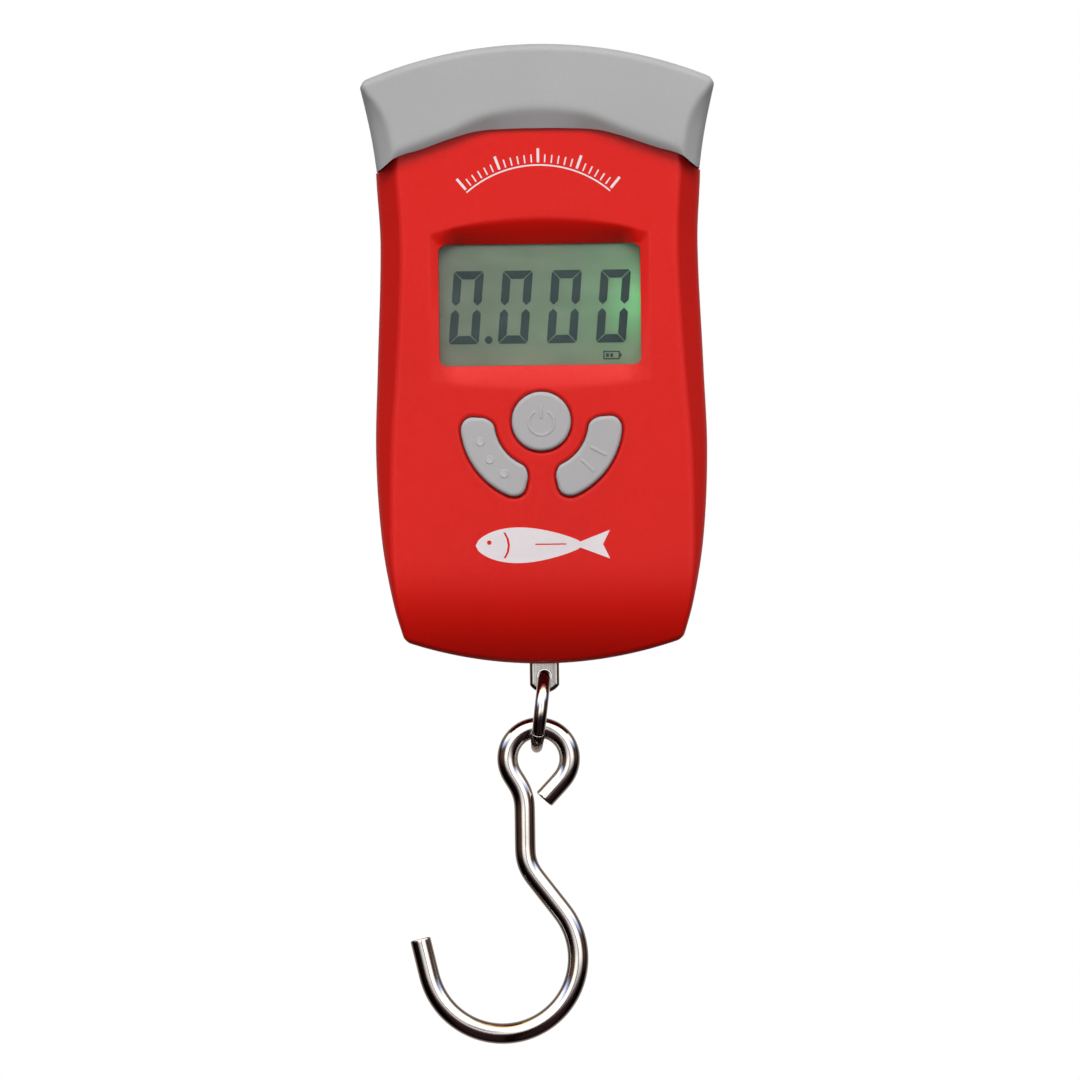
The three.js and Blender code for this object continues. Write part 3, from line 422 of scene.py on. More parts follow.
def object_of(name, points, faces):
    """An object from points in millimetres, its faces turned outwards."""
    mesh = bpy.data.meshes.new(name)
    mesh.from_pydata([tuple(p) for p in np.asarray(points, float) * MM], [], faces)
    shape = bmesh.new()
    shape.from_mesh(mesh)
    bmesh.ops.recalc_face_normals(shape, faces=shape.faces)
    shape.to_mesh(mesh)
    shape.free()
    made = bpy.data.objects.new(name, mesh)
    bpy.context.scene.collection.objects.link(made)
    return made


def two_faced(name, front, back):
    """A closed body between two grids of points of the same size, such as a front and a back face."""
    rows, columns = front.shape[:2]
    count = rows * columns
    points = np.concatenate([front.reshape(-1, 3), back.reshape(-1, 3)])
    index = np.arange(count).reshape(rows, columns)
    quads = np.stack([index[:-1, :-1], index[:-1, 1:], index[1:, 1:], index[1:, :-1]], -1).reshape(-1, 4)
    rim = np.concatenate([index[0, :], index[1:, -1], index[-1, -2::-1], index[-2:0:-1, 0]])
    following = np.roll(rim, -1)
    walls = np.stack([rim, rim + count, following + count, following], -1)
    return object_of(name, points, np.concatenate([quads, quads[:, ::-1] + count, walls]).tolist())


def tube_faces(rows, sides):
    """Faces of a tube through rows of points, its walls first and then its two ends."""
    index = np.arange(rows * sides).reshape(rows, sides)
    following = np.roll(index, -1, 1)
    walls = np.stack([index[:-1], following[:-1], following[1:], index[1:]], -1).reshape(-1, 4)
    return walls.tolist() + [index[0][::-1].tolist(), index[-1].tolist()]


def ringed(name, outline, rings):
    """A body from one outline, repeated at (offset, y) rings and closed by a flat face at each end. An offset
    moves the outline outwards along its own normals."""
    base = np.array([(x, level(below)) for x, below in outline])
    before, after = np.roll(base, 1, 0), np.roll(base, -1, 0)
    area = (before[:, 0] * base[:, 1] - base[:, 0] * before[:, 1]).sum()
    tangent = after - base
    tangent /= np.linalg.norm(tangent, axis=1)[:, None]
    incoming = np.roll(tangent, 1, 0)
    normal = np.stack([tangent[:, 1] + incoming[:, 1], -tangent[:, 0] - incoming[:, 0]], 1)
    normal /= (1 + (tangent * incoming).sum(1))[:, None]
    normal *= 1 if area > 0 else -1
    points = np.concatenate([np.insert(base + normal * offset, 1, y, axis=1) for offset, y in rings])
    return object_of(name, points, tube_faces(len(rings), len(base)))


def edge_rings(y_face, y_side, inset, steps=6):
    """Rings from a face out to a side over an elliptical edge."""
    turns = [math.pi / 2 * n / steps for n in range(steps + 1)]
    return [(-inset * (1 - math.sin(a)), y_side + (y_face - y_side) * math.cos(a)) for a in turns]


def swept(name, line, across, radius, sides, end_round):
    """A round wire along a line of points, with rounded ends. across is roughly square to the line."""
    tangent = np.gradient(line, axis=0)
    tangent /= np.linalg.norm(tangent, axis=1)[:, None]
    across = np.asarray(across) - (tangent @ across)[:, None] * tangent
    across /= np.linalg.norm(across, axis=1)[:, None]
    other = np.cross(tangent, across)
    length = distances(line)
    inside = np.flatnonzero((length > end_round) & (length < length[-1] - end_round))
    steps = 5
    bend = np.pi / 2 * np.arange(steps) / steps
    inset = end_round * (1 - np.cos(bend))[:, None]
    end_size = radius - end_round * (1 - np.sin(bend))
    points = np.concatenate([
        line[0] + tangent[0] * inset, line[inside], (line[-1] - tangent[-1] * inset)[::-1],
    ])
    size = np.concatenate([end_size, np.full(len(inside), radius), end_size[::-1]])[:, None, None]
    at = np.concatenate([np.zeros(steps, int), inside, np.full(steps, -1)])
    turns = (2 * np.pi * np.arange(sides) / sides)[:, None]
    around = across[at][:, None] * np.cos(turns) + other[at][:, None] * np.sin(turns)
    surface = (points[:, None] + size * around).reshape(-1, 3)
    body = object_of(name, surface, tube_faces(len(points), sides))
    # The wire's own coordinates, for its material: the way along it and the way round it, in metres
    corners = np.zeros(len(body.data.loops), int)
    body.data.loops.foreach_get("vertex_index", corners)
    row, turn = np.divmod(corners, sides)
    lay = np.stack([distances(points)[row], np.abs(turn / sides - 0.5) * 2 * np.pi * radius], -1) * MM
    body.data.uv_layers.new(name="Lay").data.foreach_set("uv", lay.astype(np.float32).ravel())
    return body


def bake(body):
    """Puts what a body's modifiers make in the place of its mesh."""
    made = bpy.data.meshes.new_from_object(body.evaluated_get(bpy.context.evaluated_depsgraph_get()))
    body.modifiers.clear()
    old, body.data = body.data, made
    bpy.data.meshes.remove(old)


def combine(body, operation, *tools):
    """Joins tools to a body, or cuts with them, and removes them."""
    for tool in tools:
        step = body.modifiers.new("step", "BOOLEAN")
        step.operation = operation
        step.solver = "MANIFOLD"
        step.object = tool
    bake(body)
    for tool in tools:
        data = tool.data
        bpy.data.objects.remove(tool)
        bpy.data.meshes.remove(data)
    return body


def paint(body, material):
    body.data.materials.clear()
    body.data.materials.append(material)


def finish_shape(body, node, rides_on, material):
    """Shades a finished piece, gives it its material, hangs it on its body and hides the CAD node it stands
    for, if any.
    """
    body.data.shade_smooth()
    body.data.set_sharp_from_angle(angle=FACE_ANGLE)
    body.modifiers.new("even_shading", "WEIGHTED_NORMAL").keep_sharp = True
    bake(body)
    paint(body, material)
    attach(body, rides_on)
    if node:
        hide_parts(node)


# ---- Tools for cutting and joining ----

def box_shape(x, y, below):
    """A plain box from its X, Y and height limits."""
    points = [(a, b, level(c)) for a in x for b in y for c in below]
    faces = [(0, 1, 3, 2), (4, 6, 7, 5), (0, 4, 5, 1), (2, 3, 7, 6), (0, 2, 6, 4), (1, 5, 7, 3)]
    return object_of("tool", points, faces)


def prism(outline, y0, y1):
    return ringed("tool", outline, [(0, y0), (0, y1)])


def rods(table, sides):
    """Round tools at every place in a table of (places, radius, from y, to y)."""
    return [prism(circle(x, below, radius, sides), y0, y1)
            for places, radius, y0, y1 in table for x, below in places]


def sunk_holes(places, seat, face, chamfer):
    """Holes for screw heads, from their seat out through a face."""
    rings = [(0, seat), (0, face + 0.05 - chamfer), (chamfer, face + 0.05), (chamfer, face + 1.5)]
    return [ringed("tool", circle(x, below, HEAD_HOLE, 64), rings) for x, below in places]


def case_hollow(inset):
    """The case's form without its details, smaller all round by an inset."""
    points = []
    for below in (*HOLLOW_STATIONS, NECK_TOP + inset):
        bevel = float(along(CASE_BEVELS, below))
        x = float(case_half_width(below)) - inset
        y = float(case_half_depth(below)) - inset
        low = y - CASE_BEVEL_SLOPE * bevel
        ring = ((bevel - x, -y), (x - bevel, -y), (x, -low), (x, low), (x - bevel, y), (bevel - x, y),
                (-x, low), (-x, -low))
        points += [(a, b, level(below)) for a, b in ring]
    form = object_of("tool", points, tube_faces(len(points) // 8, 8))
    outline = [(x, case_bottom(x, inset)) for x in np.linspace(-36, 36, 73)] + [(36, 0), (-36, 0)]
    combine(form, "INTERSECT", prism(outline, -DEEP, DEEP))
    neck = NECK_HALF_WIDTH - inset
    sides = [box_shape(x, (-DEEP, DEEP), (0, SHOULDER + inset)) for x in ((neck, BEYOND), (-BEYOND, -neck))]
    return combine(form, "DIFFERENCE", *sides)


def flat_mark(name, outline, face, proud, sunk, holes, material):
    """A thin mark on a face of the case, open where the outlines of its holes are."""
    body = ringed(name, outline, [(0, face - proud), (0, face + sunk)])
    if holes:
        combine(body, "DIFFERENCE", *[prism(hole, face - 1, face + 1) for hole in holes])
    finish_shape(body, None, "case", material)


def neck_cutters():
    """What is cut away beside the neck, down to a shoulder that follows the grip's foot."""
    inner = float(along(ARCH_FOOT, NECK_HALF_WIDTH)) + GAP
    line = ((NECK_HALF_WIDTH, 0), (NECK_HALF_WIDTH, inner), (FOOT_END, SHOULDER), (BEYOND, SHOULDER),
            (BEYOND, 0))
    return [prism([(side * x, below) for x, below in line], -DEEP, DEEP) for side in (1, -1)]


def tongue_slot():
    x, y = TONGUE_HALF_WIDTH + GAP, TONGUE_HALF_DEPTH + GAP
    return box_shape((-x, x), (-y, y), TONGUE_SLOT)


def parting_lip(outer, inner, y):
    """A thin rib inside the wall that bridges the parting line between the covers."""
    lip = case_hollow(outer)
    combine(lip, "INTERSECT", box_shape((-BEYOND, BEYOND), y, (-1, BELOW_CASE)))
    return combine(lip, "DIFFERENCE", case_hollow(inner))


# ---- Materials ----

def feed(to, **values):
    """Sets a node's sockets, or links them where a value is a socket. Names have _ for a space."""
    for name, value in values.items():
        socket = to.inputs[name.replace("_", " ")]
        if isinstance(value, bpy.types.NodeSocket):
            to.id_data.links.new(value, socket)
        else:
            socket.default_value = value


def node(tree, kind, **values):
    made = tree.nodes.new("ShaderNode" + kind)
    feed(made, **values)
    return made


def node_tree(name):
    """A new material, its shader and the object's own coordinates."""
    material = bpy.data.materials.new(name)
    material.use_nodes = True
    tree = material.node_tree
    return material, tree.nodes["Principled BSDF"], node(tree, "TexCoord").outputs["Object"]


def noise(where, scale, detail=3.0, stretch=None):
    """Noise with scale in features per metre. stretch makes it longer along an axis."""
    if stretch:
        where = node(where.id_data, "Mapping", Scale=stretch, Vector=where).outputs["Vector"]
    return node(where.id_data, "TexNoise", Scale=scale, Detail=detail, Vector=where).outputs["Fac"]


def ramp(value, stops):
    """A colour ramp through (position, colour) stops, where a number stands for a grey."""
    made = node(value.id_data, "ValToRGB", Fac=value)
    elements = made.color_ramp.elements
    while len(elements) < len(stops):
        elements.new(0.5)
    for element, (position, colour) in zip(elements, stops):
        element.position = position
        element.color = (*colour, 1) if isinstance(colour, tuple) else (colour, colour, colour, 1)
    return made.outputs["Color"]


def spanned(value, low, high, start=0.3, end=0.7):
    """A value from start to end, spread out to low to high."""
    limits = {"From Min": start, "From Max": end, "To Min": low, "To Max": high}
    return node(value.id_data, "MapRange", Value=value, **limits).outputs["Result"]


def mixed(share, a, b, mode="MIX"):
    """Two colours mixed: a is a socket, and b is a socket or red, green and blue."""
    made = node(a.id_data, "Mix")
    made.data_type = "RGBA"
    made.blend_type = mode
    sockets = [s for s in made.inputs if s.type == "RGBA"]
    for socket, value in zip((made.inputs["Factor"], *sockets), (share, a, b)):
        if isinstance(value, bpy.types.NodeSocket):
            a.id_data.links.new(value, socket)
        else:
            socket.default_value = (*value, 1) if isinstance(value, tuple) else value
    return next(s for s in made.outputs if s.type == "RGBA")


def either(share, first, second):
    """Two shaders mixed."""
    join = node(first.id_data, "MixShader")
    for socket, value in zip(join.inputs, (share, first, second)):
        first.id_data.links.new(value, socket)
    return join.outputs["Shader"]


def bumped(shader, heights):
    """Bump from (height, distance in metres, strength) layers."""
    normal = {}
    for height, distance, strength in heights:
        layer = node(shader.id_data, "Bump", Height=height, Distance=distance, Strength=strength, **normal)
        normal = {"Normal": layer.outputs["Normal"]}
    feed(shader, **normal)


def shade_of(colour, factor):
    return tuple(min(1, c * factor) for c in colour)


def paler_convex_edges(colour, edge_tone, start=0.53, end=0.6):
    """Paler along convex edges: the more pointed the surface, the paler it is."""
    pointed = node(colour.id_data, "NewGeometry").outputs["Pointiness"]
    return mixed(spanned(pointed, 0, 0.55, start, end), colour, edge_tone)


def plastic(name, colour, roughness, grain=5200, grain_depth=0.00003, specular=0.5, edge_tone=1.18):
    """Moulded plastic: a fine spark-eroded grain, slow changes of shade and gloss, and paler convex edges."""
    material, shader, where = node_tree(name)
    slow = noise(where, 45, 4)
    fine = noise(where, grain, 2)
    specks = noise(where, 1500, 5)
    base = ramp(slow, ((0.3, shade_of(colour, 0.965)), (0.7, shade_of(colour, 1.03))))
    base = mixed(spanned(specks, 0, 0.2), base, shade_of(colour, 0.84))
    feed(shader, Base_Color=paler_convex_edges(base, shade_of(colour, edge_tone)), Specular_IOR_Level=specular,
         Roughness=spanned(specks, roughness - 0.05, roughness + 0.06))
    bumped(shader, [(fine, grain_depth, 0.35), (slow, 0.0002, 0.05)])
    return material


def metal(name, colour, roughness, streaks=(1, 1, 1), streak_scale=900):
    """Metal with fine drawn or milled streaks, faint tarnish and small scratches."""
    material, shader, where = node_tree(name)
    slow = noise(where, 120, 5)
    lines = noise(where, streak_scale, 3, streaks)
    fine = noise(where, 3000, 3)
    base = ramp(slow, ((0.35, shade_of(colour, 0.75)), (0.6, colour)))
    feed(shader, Base_Color=mixed(spanned(lines, 0, 0.18), base, shade_of(colour, 0.8)),
         Roughness=spanned(fine, roughness * 0.75, roughness * 1.35), Metallic=1)
    bumped(shader, [(lines, 0.00002, 0.3), (slow, 0.00005, 0.1)])
    return material


def wire_metal(name, colour, roughness):
    """Drawn and plated wire: streaks along it, from the wire's own coordinates."""
    material, shader, where = node_tree(name)
    lay = node(material.node_tree, "UVMap")
    lay.uv_map = "Lay"
    lines = noise(lay.outputs["UV"], 1, 4, (30, 5200, 1))
    slow = noise(where, 260, 5)
    fine = noise(where, 2600, 4)
    base = ramp(slow, ((0.3, shade_of(colour, 0.86)), (0.62, colour)))
    base = mixed(spanned(lines, 0, 0.14), base, shade_of(colour, 0.72))
    # Paler along convex edges, by how pointed the wire's surface is.
    feed(shader, Base_Color=paler_convex_edges(base, shade_of(colour, 1.1), 0.55, 0.7),
         Roughness=spanned(fine, roughness * 0.7, roughness * 1.5), Metallic=1)
    bumped(shader, [(lines, 0.000012, 0.22), (slow, 0.00006, 0.12), (fine, 0.00001, 0.15)])
    return material


def display_glass(name):
    """The unlit grey-green of the display, with the side light's glow spreading in from the right."""
    material, shader, where = node_tree(name)
    reach = node(material.node_tree, "VectorMath", Vector=where)
    reach.operation = "DISTANCE"
    reach.inputs[1].default_value = (19.4 * MM, -8.8 * MM, level(48.2) * MM)  # the side light
    distance = reach.outputs["Value"]
    slow = noise(where, 160, 3)
    fine = noise(where, 9000, 2)
    base = ramp(spanned(distance, 0, 1, 0.0, 0.04), (
        (0.0, (0.32, 0.68, 0.39)),
        (0.1, (0.29, 0.59, 0.34)),
        (0.22, (0.25, 0.375, 0.255)),
        (0.6, (0.255, 0.315, 0.24)),
        (1.0, (0.235, 0.265, 0.22)),
    ))
    base = mixed(spanned(slow, 0, 0.25), base, (0.265, 0.32, 0.255))
    base = mixed(spanned(fine, 0, 0.12), base, (0.21, 0.255, 0.205))
    glow = ramp(spanned(distance, 0, 1, 0.0, 0.015), (
        (0.0, (0.05, 0.3, 0.08)),
        (0.2, (0.03, 0.17, 0.045)),
        (0.5, (0.006, 0.035, 0.009)),
        (1.0, 0.0),
    ))
    feed(shader, Base_Color=base, Emission_Color=glow, Emission_Strength=1, Specular_IOR_Level=0.2,
         Roughness=spanned(fine, 0.42, 0.55))
    bumped(shader, [(fine, 0.00001, 0.1)])
    return material


def clear_pane(name):
    """A thin clear pane: it shows what is behind it and adds a soft reflection with faint smears."""
    material, shader, where = node_tree(name)
    tree = material.node_tree
    tree.nodes.remove(shader)
    smears = noise(where, 140, 5, (1, 1, 2.4))
    dust = noise(where, 4200, 2)
    tint = ramp(smears, ((0.3, (0.93, 0.95, 0.93)), (0.75, (0.88, 0.9, 0.88))))
    through = node(tree, "BsdfTransparent", Color=tint)
    gloss = node(tree, "BsdfGlossy", Roughness=spanned(smears, 0.08, 0.26))
    bumped(gloss, [(dust, 0.000004, 0.1), (smears, 0.00002, 0.08)])
    slant = node(tree, "LayerWeight", Blend=0.5).outputs["Facing"]
    shine = ramp(slant, ((0.0, 0.015), (0.4, 0.03), (0.7, 0.16), (1.0, 0.8)))
    surface = either(shine, through.outputs["BSDF"], gloss.outputs["BSDF"])
    feed(tree.nodes["Material Output"], Surface=surface)
    return material


# The last factor of each plastic sets how much paler its convex edges are.
RED = plastic("red_abs", (0.69, 0.0065, 0.0025), 0.42, edge_tone=1.12)
RED_REAR = plastic("red_abs_rear", (0.69, 0.0085, 0.0035), 0.42, specular=0.3, edge_tone=1.15)
RED_DOOR = plastic("red_abs_door", (0.68, 0.0085, 0.0035), 0.44, grain_depth=0.00005, specular=0.3, edge_tone=1.0)
GREY = plastic("grey_abs", (0.425, 0.424, 0.43), 0.5, grain=4200, specular=0.3, edge_tone=1.1)
KEY_GREY = plastic("key_grey", (0.46, 0.447, 0.456), 0.46, 6500, 0.00002, specular=0.3, edge_tone=1.12)
KEY_MARK = plastic("key_grey_raised", (0.45, 0.435, 0.445), 0.4, 6500, 0.00001, edge_tone=1.3)
DIGIT = plastic("display_segment", (0.055, 0.082, 0.09), 0.6, 9000, 0.000005, specular=0.1, edge_tone=1.05)
INK = plastic("white_ink", (0.83, 0.76, 0.78), 0.5, 3800, 0.00001, specular=0.2, edge_tone=1.03)
DISPLAY = display_glass("display_glass")
PANE = clear_pane("window_pane")
STEEL_WIRE = wire_metal("polished_wire", (0.74, 0.7, 0.65), 0.11)
STEEL_RING = wire_metal("polished_ring", (0.68, 0.64, 0.6), 0.12)
STEEL_PLATE = metal("polished_plate", (0.52, 0.495, 0.46), 0.13, (1, 1, 0.06), 2600)
CELL_SLEEVE = plastic("cell_sleeve", (0.03, 0.085, 0.22), 0.3, 1200, 0.000008)
SCREW_STEEL = metal("zinc_screw", (0.5, 0.5, 0.52), 0.34)


# ---- Case and grip ----

def cover_grid(front):
    """The outside of a cover as points, and where they lie on its parting plane."""
    inner_step, outer_step = (0.25, 0.45) if front else (0.6, 0.6)
    inner = spread(WINDOW_HALF_WIDTH, inner_step)
    rim = WINDOW_HALF_WIDTH + np.linspace(0, RECESS_HALF_WIDTH - WINDOW_HALF_WIDTH, 10)[1:]
    beyond = case_half_width(KEYS_BELOW) - RECESS_HALF_WIDTH
    outer = spread(beyond, outer_step, fine_start=front, fine_end=True)[1:] / beyond
    flat = both_sides(np.concatenate([inner, rim, np.full(len(outer), RECESS_HALF_WIDTH)]))
    share = np.abs(both_sides(np.concatenate([np.zeros(len(inner) + len(rim)), outer])))

    def columns_at(below):
        return flat + np.sign(flat) * share * (case_half_width(below) - RECESS_HALF_WIDTH)

    lines, spans = [lambda x: NECK_TOP, case_bottom], [(CASE_BOTTOM - NECK_TOP, 0.7, False, True)]
    if front:
        lines[1:1] = [recess_top, lambda x: WINDOW_TOP, lambda x: WINDOW_BOTTOM, recess_bottom,
                      lambda x: KEYS_END]
        spans = [(RECESS_TOP - NECK_TOP, 0.6, False, True), (WINDOW_TOP - RECESS_TOP, 0.35, True, False),
                 (WINDOW_BOTTOM - WINDOW_TOP, 1.5, False, False),
                 (RECESS_BOTTOM - WINDOW_BOTTOM, 0.35, False, True),
                 (KEYS_END - RECESS_BOTTOM, 0.25, True, False), (CASE_BOTTOM - KEYS_END, 0.5, False, True)]
    x, below = grid_on_lines(lines, [spread(*span) / span[0] for span in spans], columns_at)
    from_side = case_half_width(below) - np.abs(x)
    new_side, new_end, edge = square_to_round(from_side, case_bottom(x) - below, CASE_CORNER)
    below = case_bottom(x) - new_end
    x = np.sign(x) * (case_half_width(below) - new_side)
    depth = case_face(x, below, edge)
    if front:
        depth = recess_drop(x, below) + rounding(np.maximum(key_distance(x, below), 0), KEY_RIM) - depth
    parting = np.full(depth.shape, -PARTING if front else PARTING)
    return np.stack([x, depth, level(below)], -1), np.stack([x, parting, level(below)], -1)


def front_cover():
    body = two_faced("front_cover_fine", *cover_grid(True))
    combine(body, "UNION", parting_lip(0.7, 1.3, (-0.8, 0.6)))
    hollow = case_hollow(WALL)
    combine(hollow, "DIFFERENCE", box_shape(*WINDOW_FRAME), *rods(FRONT_BOSSES, 32))
    window = rounded_box(-WINDOW_HALF_WIDTH, WINDOW_HALF_WIDTH, WINDOW_TOP, WINDOW_BOTTOM, WINDOW_CORNER)
    key_holes = (circle(0, KEYS_BELOW, POWER_RADIUS + KEY_GAP, 120), crescent_outline(1, KEY_GAP),
                 crescent_outline(-1, KEY_GAP))
    combine(body, "DIFFERENCE", hollow, *neck_cutters(), prism(window, -14, -8),
            *[prism(outline, -14, -10) for outline in key_holes], tongue_slot(), *rods(FRONT_HOLES, 24))
    finish_shape(body, "front_cover", "case", RED)


def rear_cover():
    body = two_faced("rear_cover_fine", *cover_grid(False))
    bay = BAY_HALF_WIDTH + BAY_WALL
    bay_front = BAY_FLOOR - BAY_WALL
    bay_heights = (BAY_TOP - BAY_WALL, BAY_BOTTOM + BAY_WALL)
    combine(body, "UNION", box_shape((-bay, bay), (bay_front, 5), bay_heights))
    hollow = case_hollow(WALL)
    combine(hollow, "DIFFERENCE", box_shape((-bay, bay), (bay_front, 12), bay_heights),
            box_shape(*DOOR_FRAME), *rods(REAR_BOSSES, 32))
    face = CASE_HALF_DEPTH
    seat = face - DOOR_THICKNESS - GAP
    door = rounded_box(-DOOR_HALF_WIDTH - GAP, DOOR_HALF_WIDTH + GAP, DOOR_TOP - GAP, DOOR_BOTTOM + GAP, 1.8)
    # A hollow for a fingertip at the door's lower edge
    notch = rounded_box(-4.6, 4.6, DOOR_BOTTOM - 1, DOOR_BOTTOM + 3.4, 1.6)
    openings = [
        hollow,
        parting_lip(0.6, 1.4, (-1, 0.8)),
        *neck_cutters(),
        box_shape((-BAY_HALF_WIDTH, BAY_HALF_WIDTH), (BAY_FLOOR, 14), (BAY_TOP, BAY_BOTTOM)),
        ringed("tool", door, [(0, seat), (0, face - 0.25), (0.3, face + 0.05), (0.3, 14)]),
        ringed("tool", notch, [(-1.5, 10.7), (-0.9, 10.85), (0, 12.55), (0, 14)]),
        tongue_slot(),
    ]
    openings += [box_shape((x - half, x + half), y, heights)
                 for x in DOOR_TABS for half, y, heights in TAB_SLOTS]
    combine(body, "DIFFERENCE", *openings, *sunk_holes(CASE_SCREWS, CASE_SEAT, face, 0.4),
            *rods(REAR_HOLES, 24))
    finish_shape(body, "rear_cover", "case", RED_REAR)


def grip_cap():
    nominal = 31.5
    columns = both_sides(spread(nominal, 0.45, fine_end=True)) / nominal
    height = float(arch_edge(0))
    lip = float(arch_foot(0)) - height
    shares = [spread(height, 0.45, True, True) / height, spread(lip, 0.3, True, True) / lip]
    x, below = grid_on_lines([grip_top, arch_edge, arch_foot], shares,
                             lambda at: columns * along(GRIP_HALF_WIDTHS, at))
    from_side = along(GRIP_HALF_WIDTHS, below) - np.abs(x)
    new_side, new_end, edge = square_to_round(from_side, below - grip_top(x), GRIP_CORNER)
    below = grip_top(x) + new_end
    x = np.sign(x) * (along(GRIP_HALF_WIDTHS, below) - new_side)
    from_side = along(GRIP_HALF_WIDTHS, below) - np.abs(x)
    bevel = GRIP_BEVEL_SLOPE * soft_rise(along(GRIP_BEVELS, below) - from_side, GRIP_BEVEL_SOFT)
    lip_width = np.maximum(arch_foot(x) - arch_edge(x), LIP_LEAST_WIDTH)
    soft = np.minimum(ARCH_SOFT, 0.45 * lip_width)
    lip_depth = LIP_DEPTH / lip_width * soft_rise(below - arch_edge(x), soft)
    deeper = lip_depth + soft_rise(bevel - lip_depth, LIP_SOFT)
    depth = GRIP_HALF_DEPTH - deeper - rounding(edge, GRIP_EDGE)
    front = np.stack([x, -depth, level(below)], -1)
    body = two_faced("grip_cap_fine", front, front * (1, -1, 1))
    arc = GRIP_TOP_ARC - GRIP_ROOF
    cavity = [(x, GRIP_TOP_ARC - math.sqrt(arc ** 2 - x ** 2))
              for x in np.linspace(-CAVITY_HALF_WIDTH, CAVITY_HALF_WIDTH, 57)]
    cavity += [(CAVITY_HALF_WIDTH, 30), (-CAVITY_HALF_WIDTH, 30)]
    deep = GRIP_HALF_DEPTH - GRIP_WALL
    combine(body, "DIFFERENCE", prism(cavity, -deep, deep),
            *sunk_holes(GRIP_SCREWS, GRIP_SEAT, GRIP_HALF_DEPTH, 0.35), *rods(CAP_HOLES, 24))
    finish_shape(body, "grip_cap", "case", GREY)


def battery_door():
    face, inner = CASE_HALF_DEPTH, CASE_HALF_DEPTH - DOOR_THICKNESS
    outline = rounded_box(-DOOR_HALF_WIDTH, DOOR_HALF_WIDTH, DOOR_TOP, DOOR_BOTTOM, 1.5)
    body = ringed("battery_door_fine", outline, edge_rings(face, face - 0.35, 0.35) + [(0, inner)])
    tab = (inner, inner + 0.7), (DOOR_TOP - 1.3, DOOR_TOP + 1)
    extras = [box_shape((x - 2, x + 2), *tab) for x in DOOR_TABS]
    extras.append(box_shape((-4, 4), (inner + 0.5, inner + 1.2), (DOOR_BOTTOM - 1, DOOR_BOTTOM + 0.9)))
    rib_rings = edge_rings(face + 0.35, face + 0.1, 0.25, 4) + [(0, face - 0.3)]
    for n in range(RIBS):
        half, below = RIB_HALF_LENGTH - RIB_SHORTENING * n, RIB_BELOW - RIB_PITCH * n
        extras.append(ringed("tool", rounded_box(-half, half, below, below + RIB_WIDTH, 0.39, 5), rib_rings))
    combine(body, "UNION", *extras)
    finish_shape(body, "battery_door", "battery_door", RED_DOOR)


# ---- Keys ----

def key(name, outline, stem):
    """A key with the flange that keeps it in, and its stem at (x, below)."""
    rings = edge_rings(KEY_FRONT, KEY_FRONT + 0.6, 0.7, 8)
    rings += [(0, FLANGE_FRONT), (FLANGE_WIDTH, FLANGE_FRONT), (FLANGE_WIDTH, FLANGE_BACK)]
    body = ringed(name + "_fine", outline, rings)
    combine(body, "UNION", prism(circle(*stem, STEM_RADIUS), FLANGE_BACK - 0.4, STEM_END))
    finish_shape(body, name, name, KEY_GREY)


def raised(name, outline, body):
    """A small mark that stands a little proud of a key."""
    rings = edge_rings(KEY_FRONT - 0.12, KEY_FRONT - 0.02, 0.1, 3) + [(0, KEY_FRONT + 0.1)]
    finish_shape(ringed(name, outline, rings), None, body, KEY_MARK)


def keys():
    """The round key has a power symbol, the left one has dots and the right one has strokes."""
    key("power_key", circle(0, KEYS_BELOW, POWER_RADIUS, 96), (0, KEYS_BELOW))
    raised("power_mark_ring", arc_band(2.35, 0.5, 32, 328, KEYS_BELOW + 0.2), "power_key")
    raised("power_mark_bar", rounded_box(-0.26, 0.26, KEYS_BELOW - 3, KEYS_BELOW - 0.5, 0.24, 4), "power_key")
    key("left_key", crescent_outline(-1), crescent_point(-1, CRESCENT_CENTRE, CRESCENT_MIDDLE))
    for n, angle in enumerate((-18, -36, -54)):
        middle = crescent_point(-1, math.radians(angle), CRESCENT_MIDDLE)
        raised(f"left_key_mark_{n + 1}", circle(*middle, 0.8, 32), "left_key")
    key("right_key", crescent_outline(1), crescent_point(1, CRESCENT_CENTRE, CRESCENT_MIDDLE))
    for n, angle in enumerate((-28, -44)):
        middle = crescent_point(1, math.radians(angle), CRESCENT_MIDDLE)
        cos, sin = towards(math.radians(angle))
        stroke = [(a * cos - b * sin, -a * sin - b * cos)
                  for a, b in rounded_box(-1.7, 1.7, -0.3, 0.3, 0.28, 4)]
        raised(f"right_key_mark_{n + 1}", shifted(stroke, *middle), "right_key")


# ---- Display ----

DIGIT_WIDTH = 5.6
DIGIT_HEIGHT = 13.6
DIGIT_PITCH = 9.13
DIGITS_BELOW = 48.85
SEGMENT = 1.55
SLANT = 0.085
POINT = (-9.6, 54.9)
POINT_RADIUS = 0.72
SYMBOL = (13.4, 58.0)
PANE_FRONT = -10.1
PANE_BACK = -9.1
PANEL_FRONT = -8.8
PANEL_BACK = -7.0


def segment_outlines(x, below):
    """The six lit segments of a nought, leaning to the right."""
    w, h, t = DIGIT_WIDTH / 2, DIGIT_HEIGHT / 2, SEGMENT
    gap, tip = 0.13, 0.34
    top = [(gap + 0.3 - w, h), (w - gap - 0.3, h), (w - gap - 0.12, h - 0.18), (w - t - gap, h - t),
           (t + gap - w, h - t), (gap + 0.12 - w, h - 0.18)]
    side = [(w, h - gap - 0.4), (w, tip + t / 2), (w - t / 2, tip), (w - t, tip + t / 2),
            (w - t, h - t - gap), (w - 0.2, h - gap - 0.12)]
    for name, points, right, up in (
        ("top", top, 1, 1), ("upper_right", side, 1, 1), ("upper_left", side, -1, 1),
        ("bottom", top, 1, -1), ("lower_right", side, 1, -1), ("lower_left", side, -1, -1),
    ):
        yield name, [(x + right * a + SLANT * up * b, below - up * b) for a, b in points]


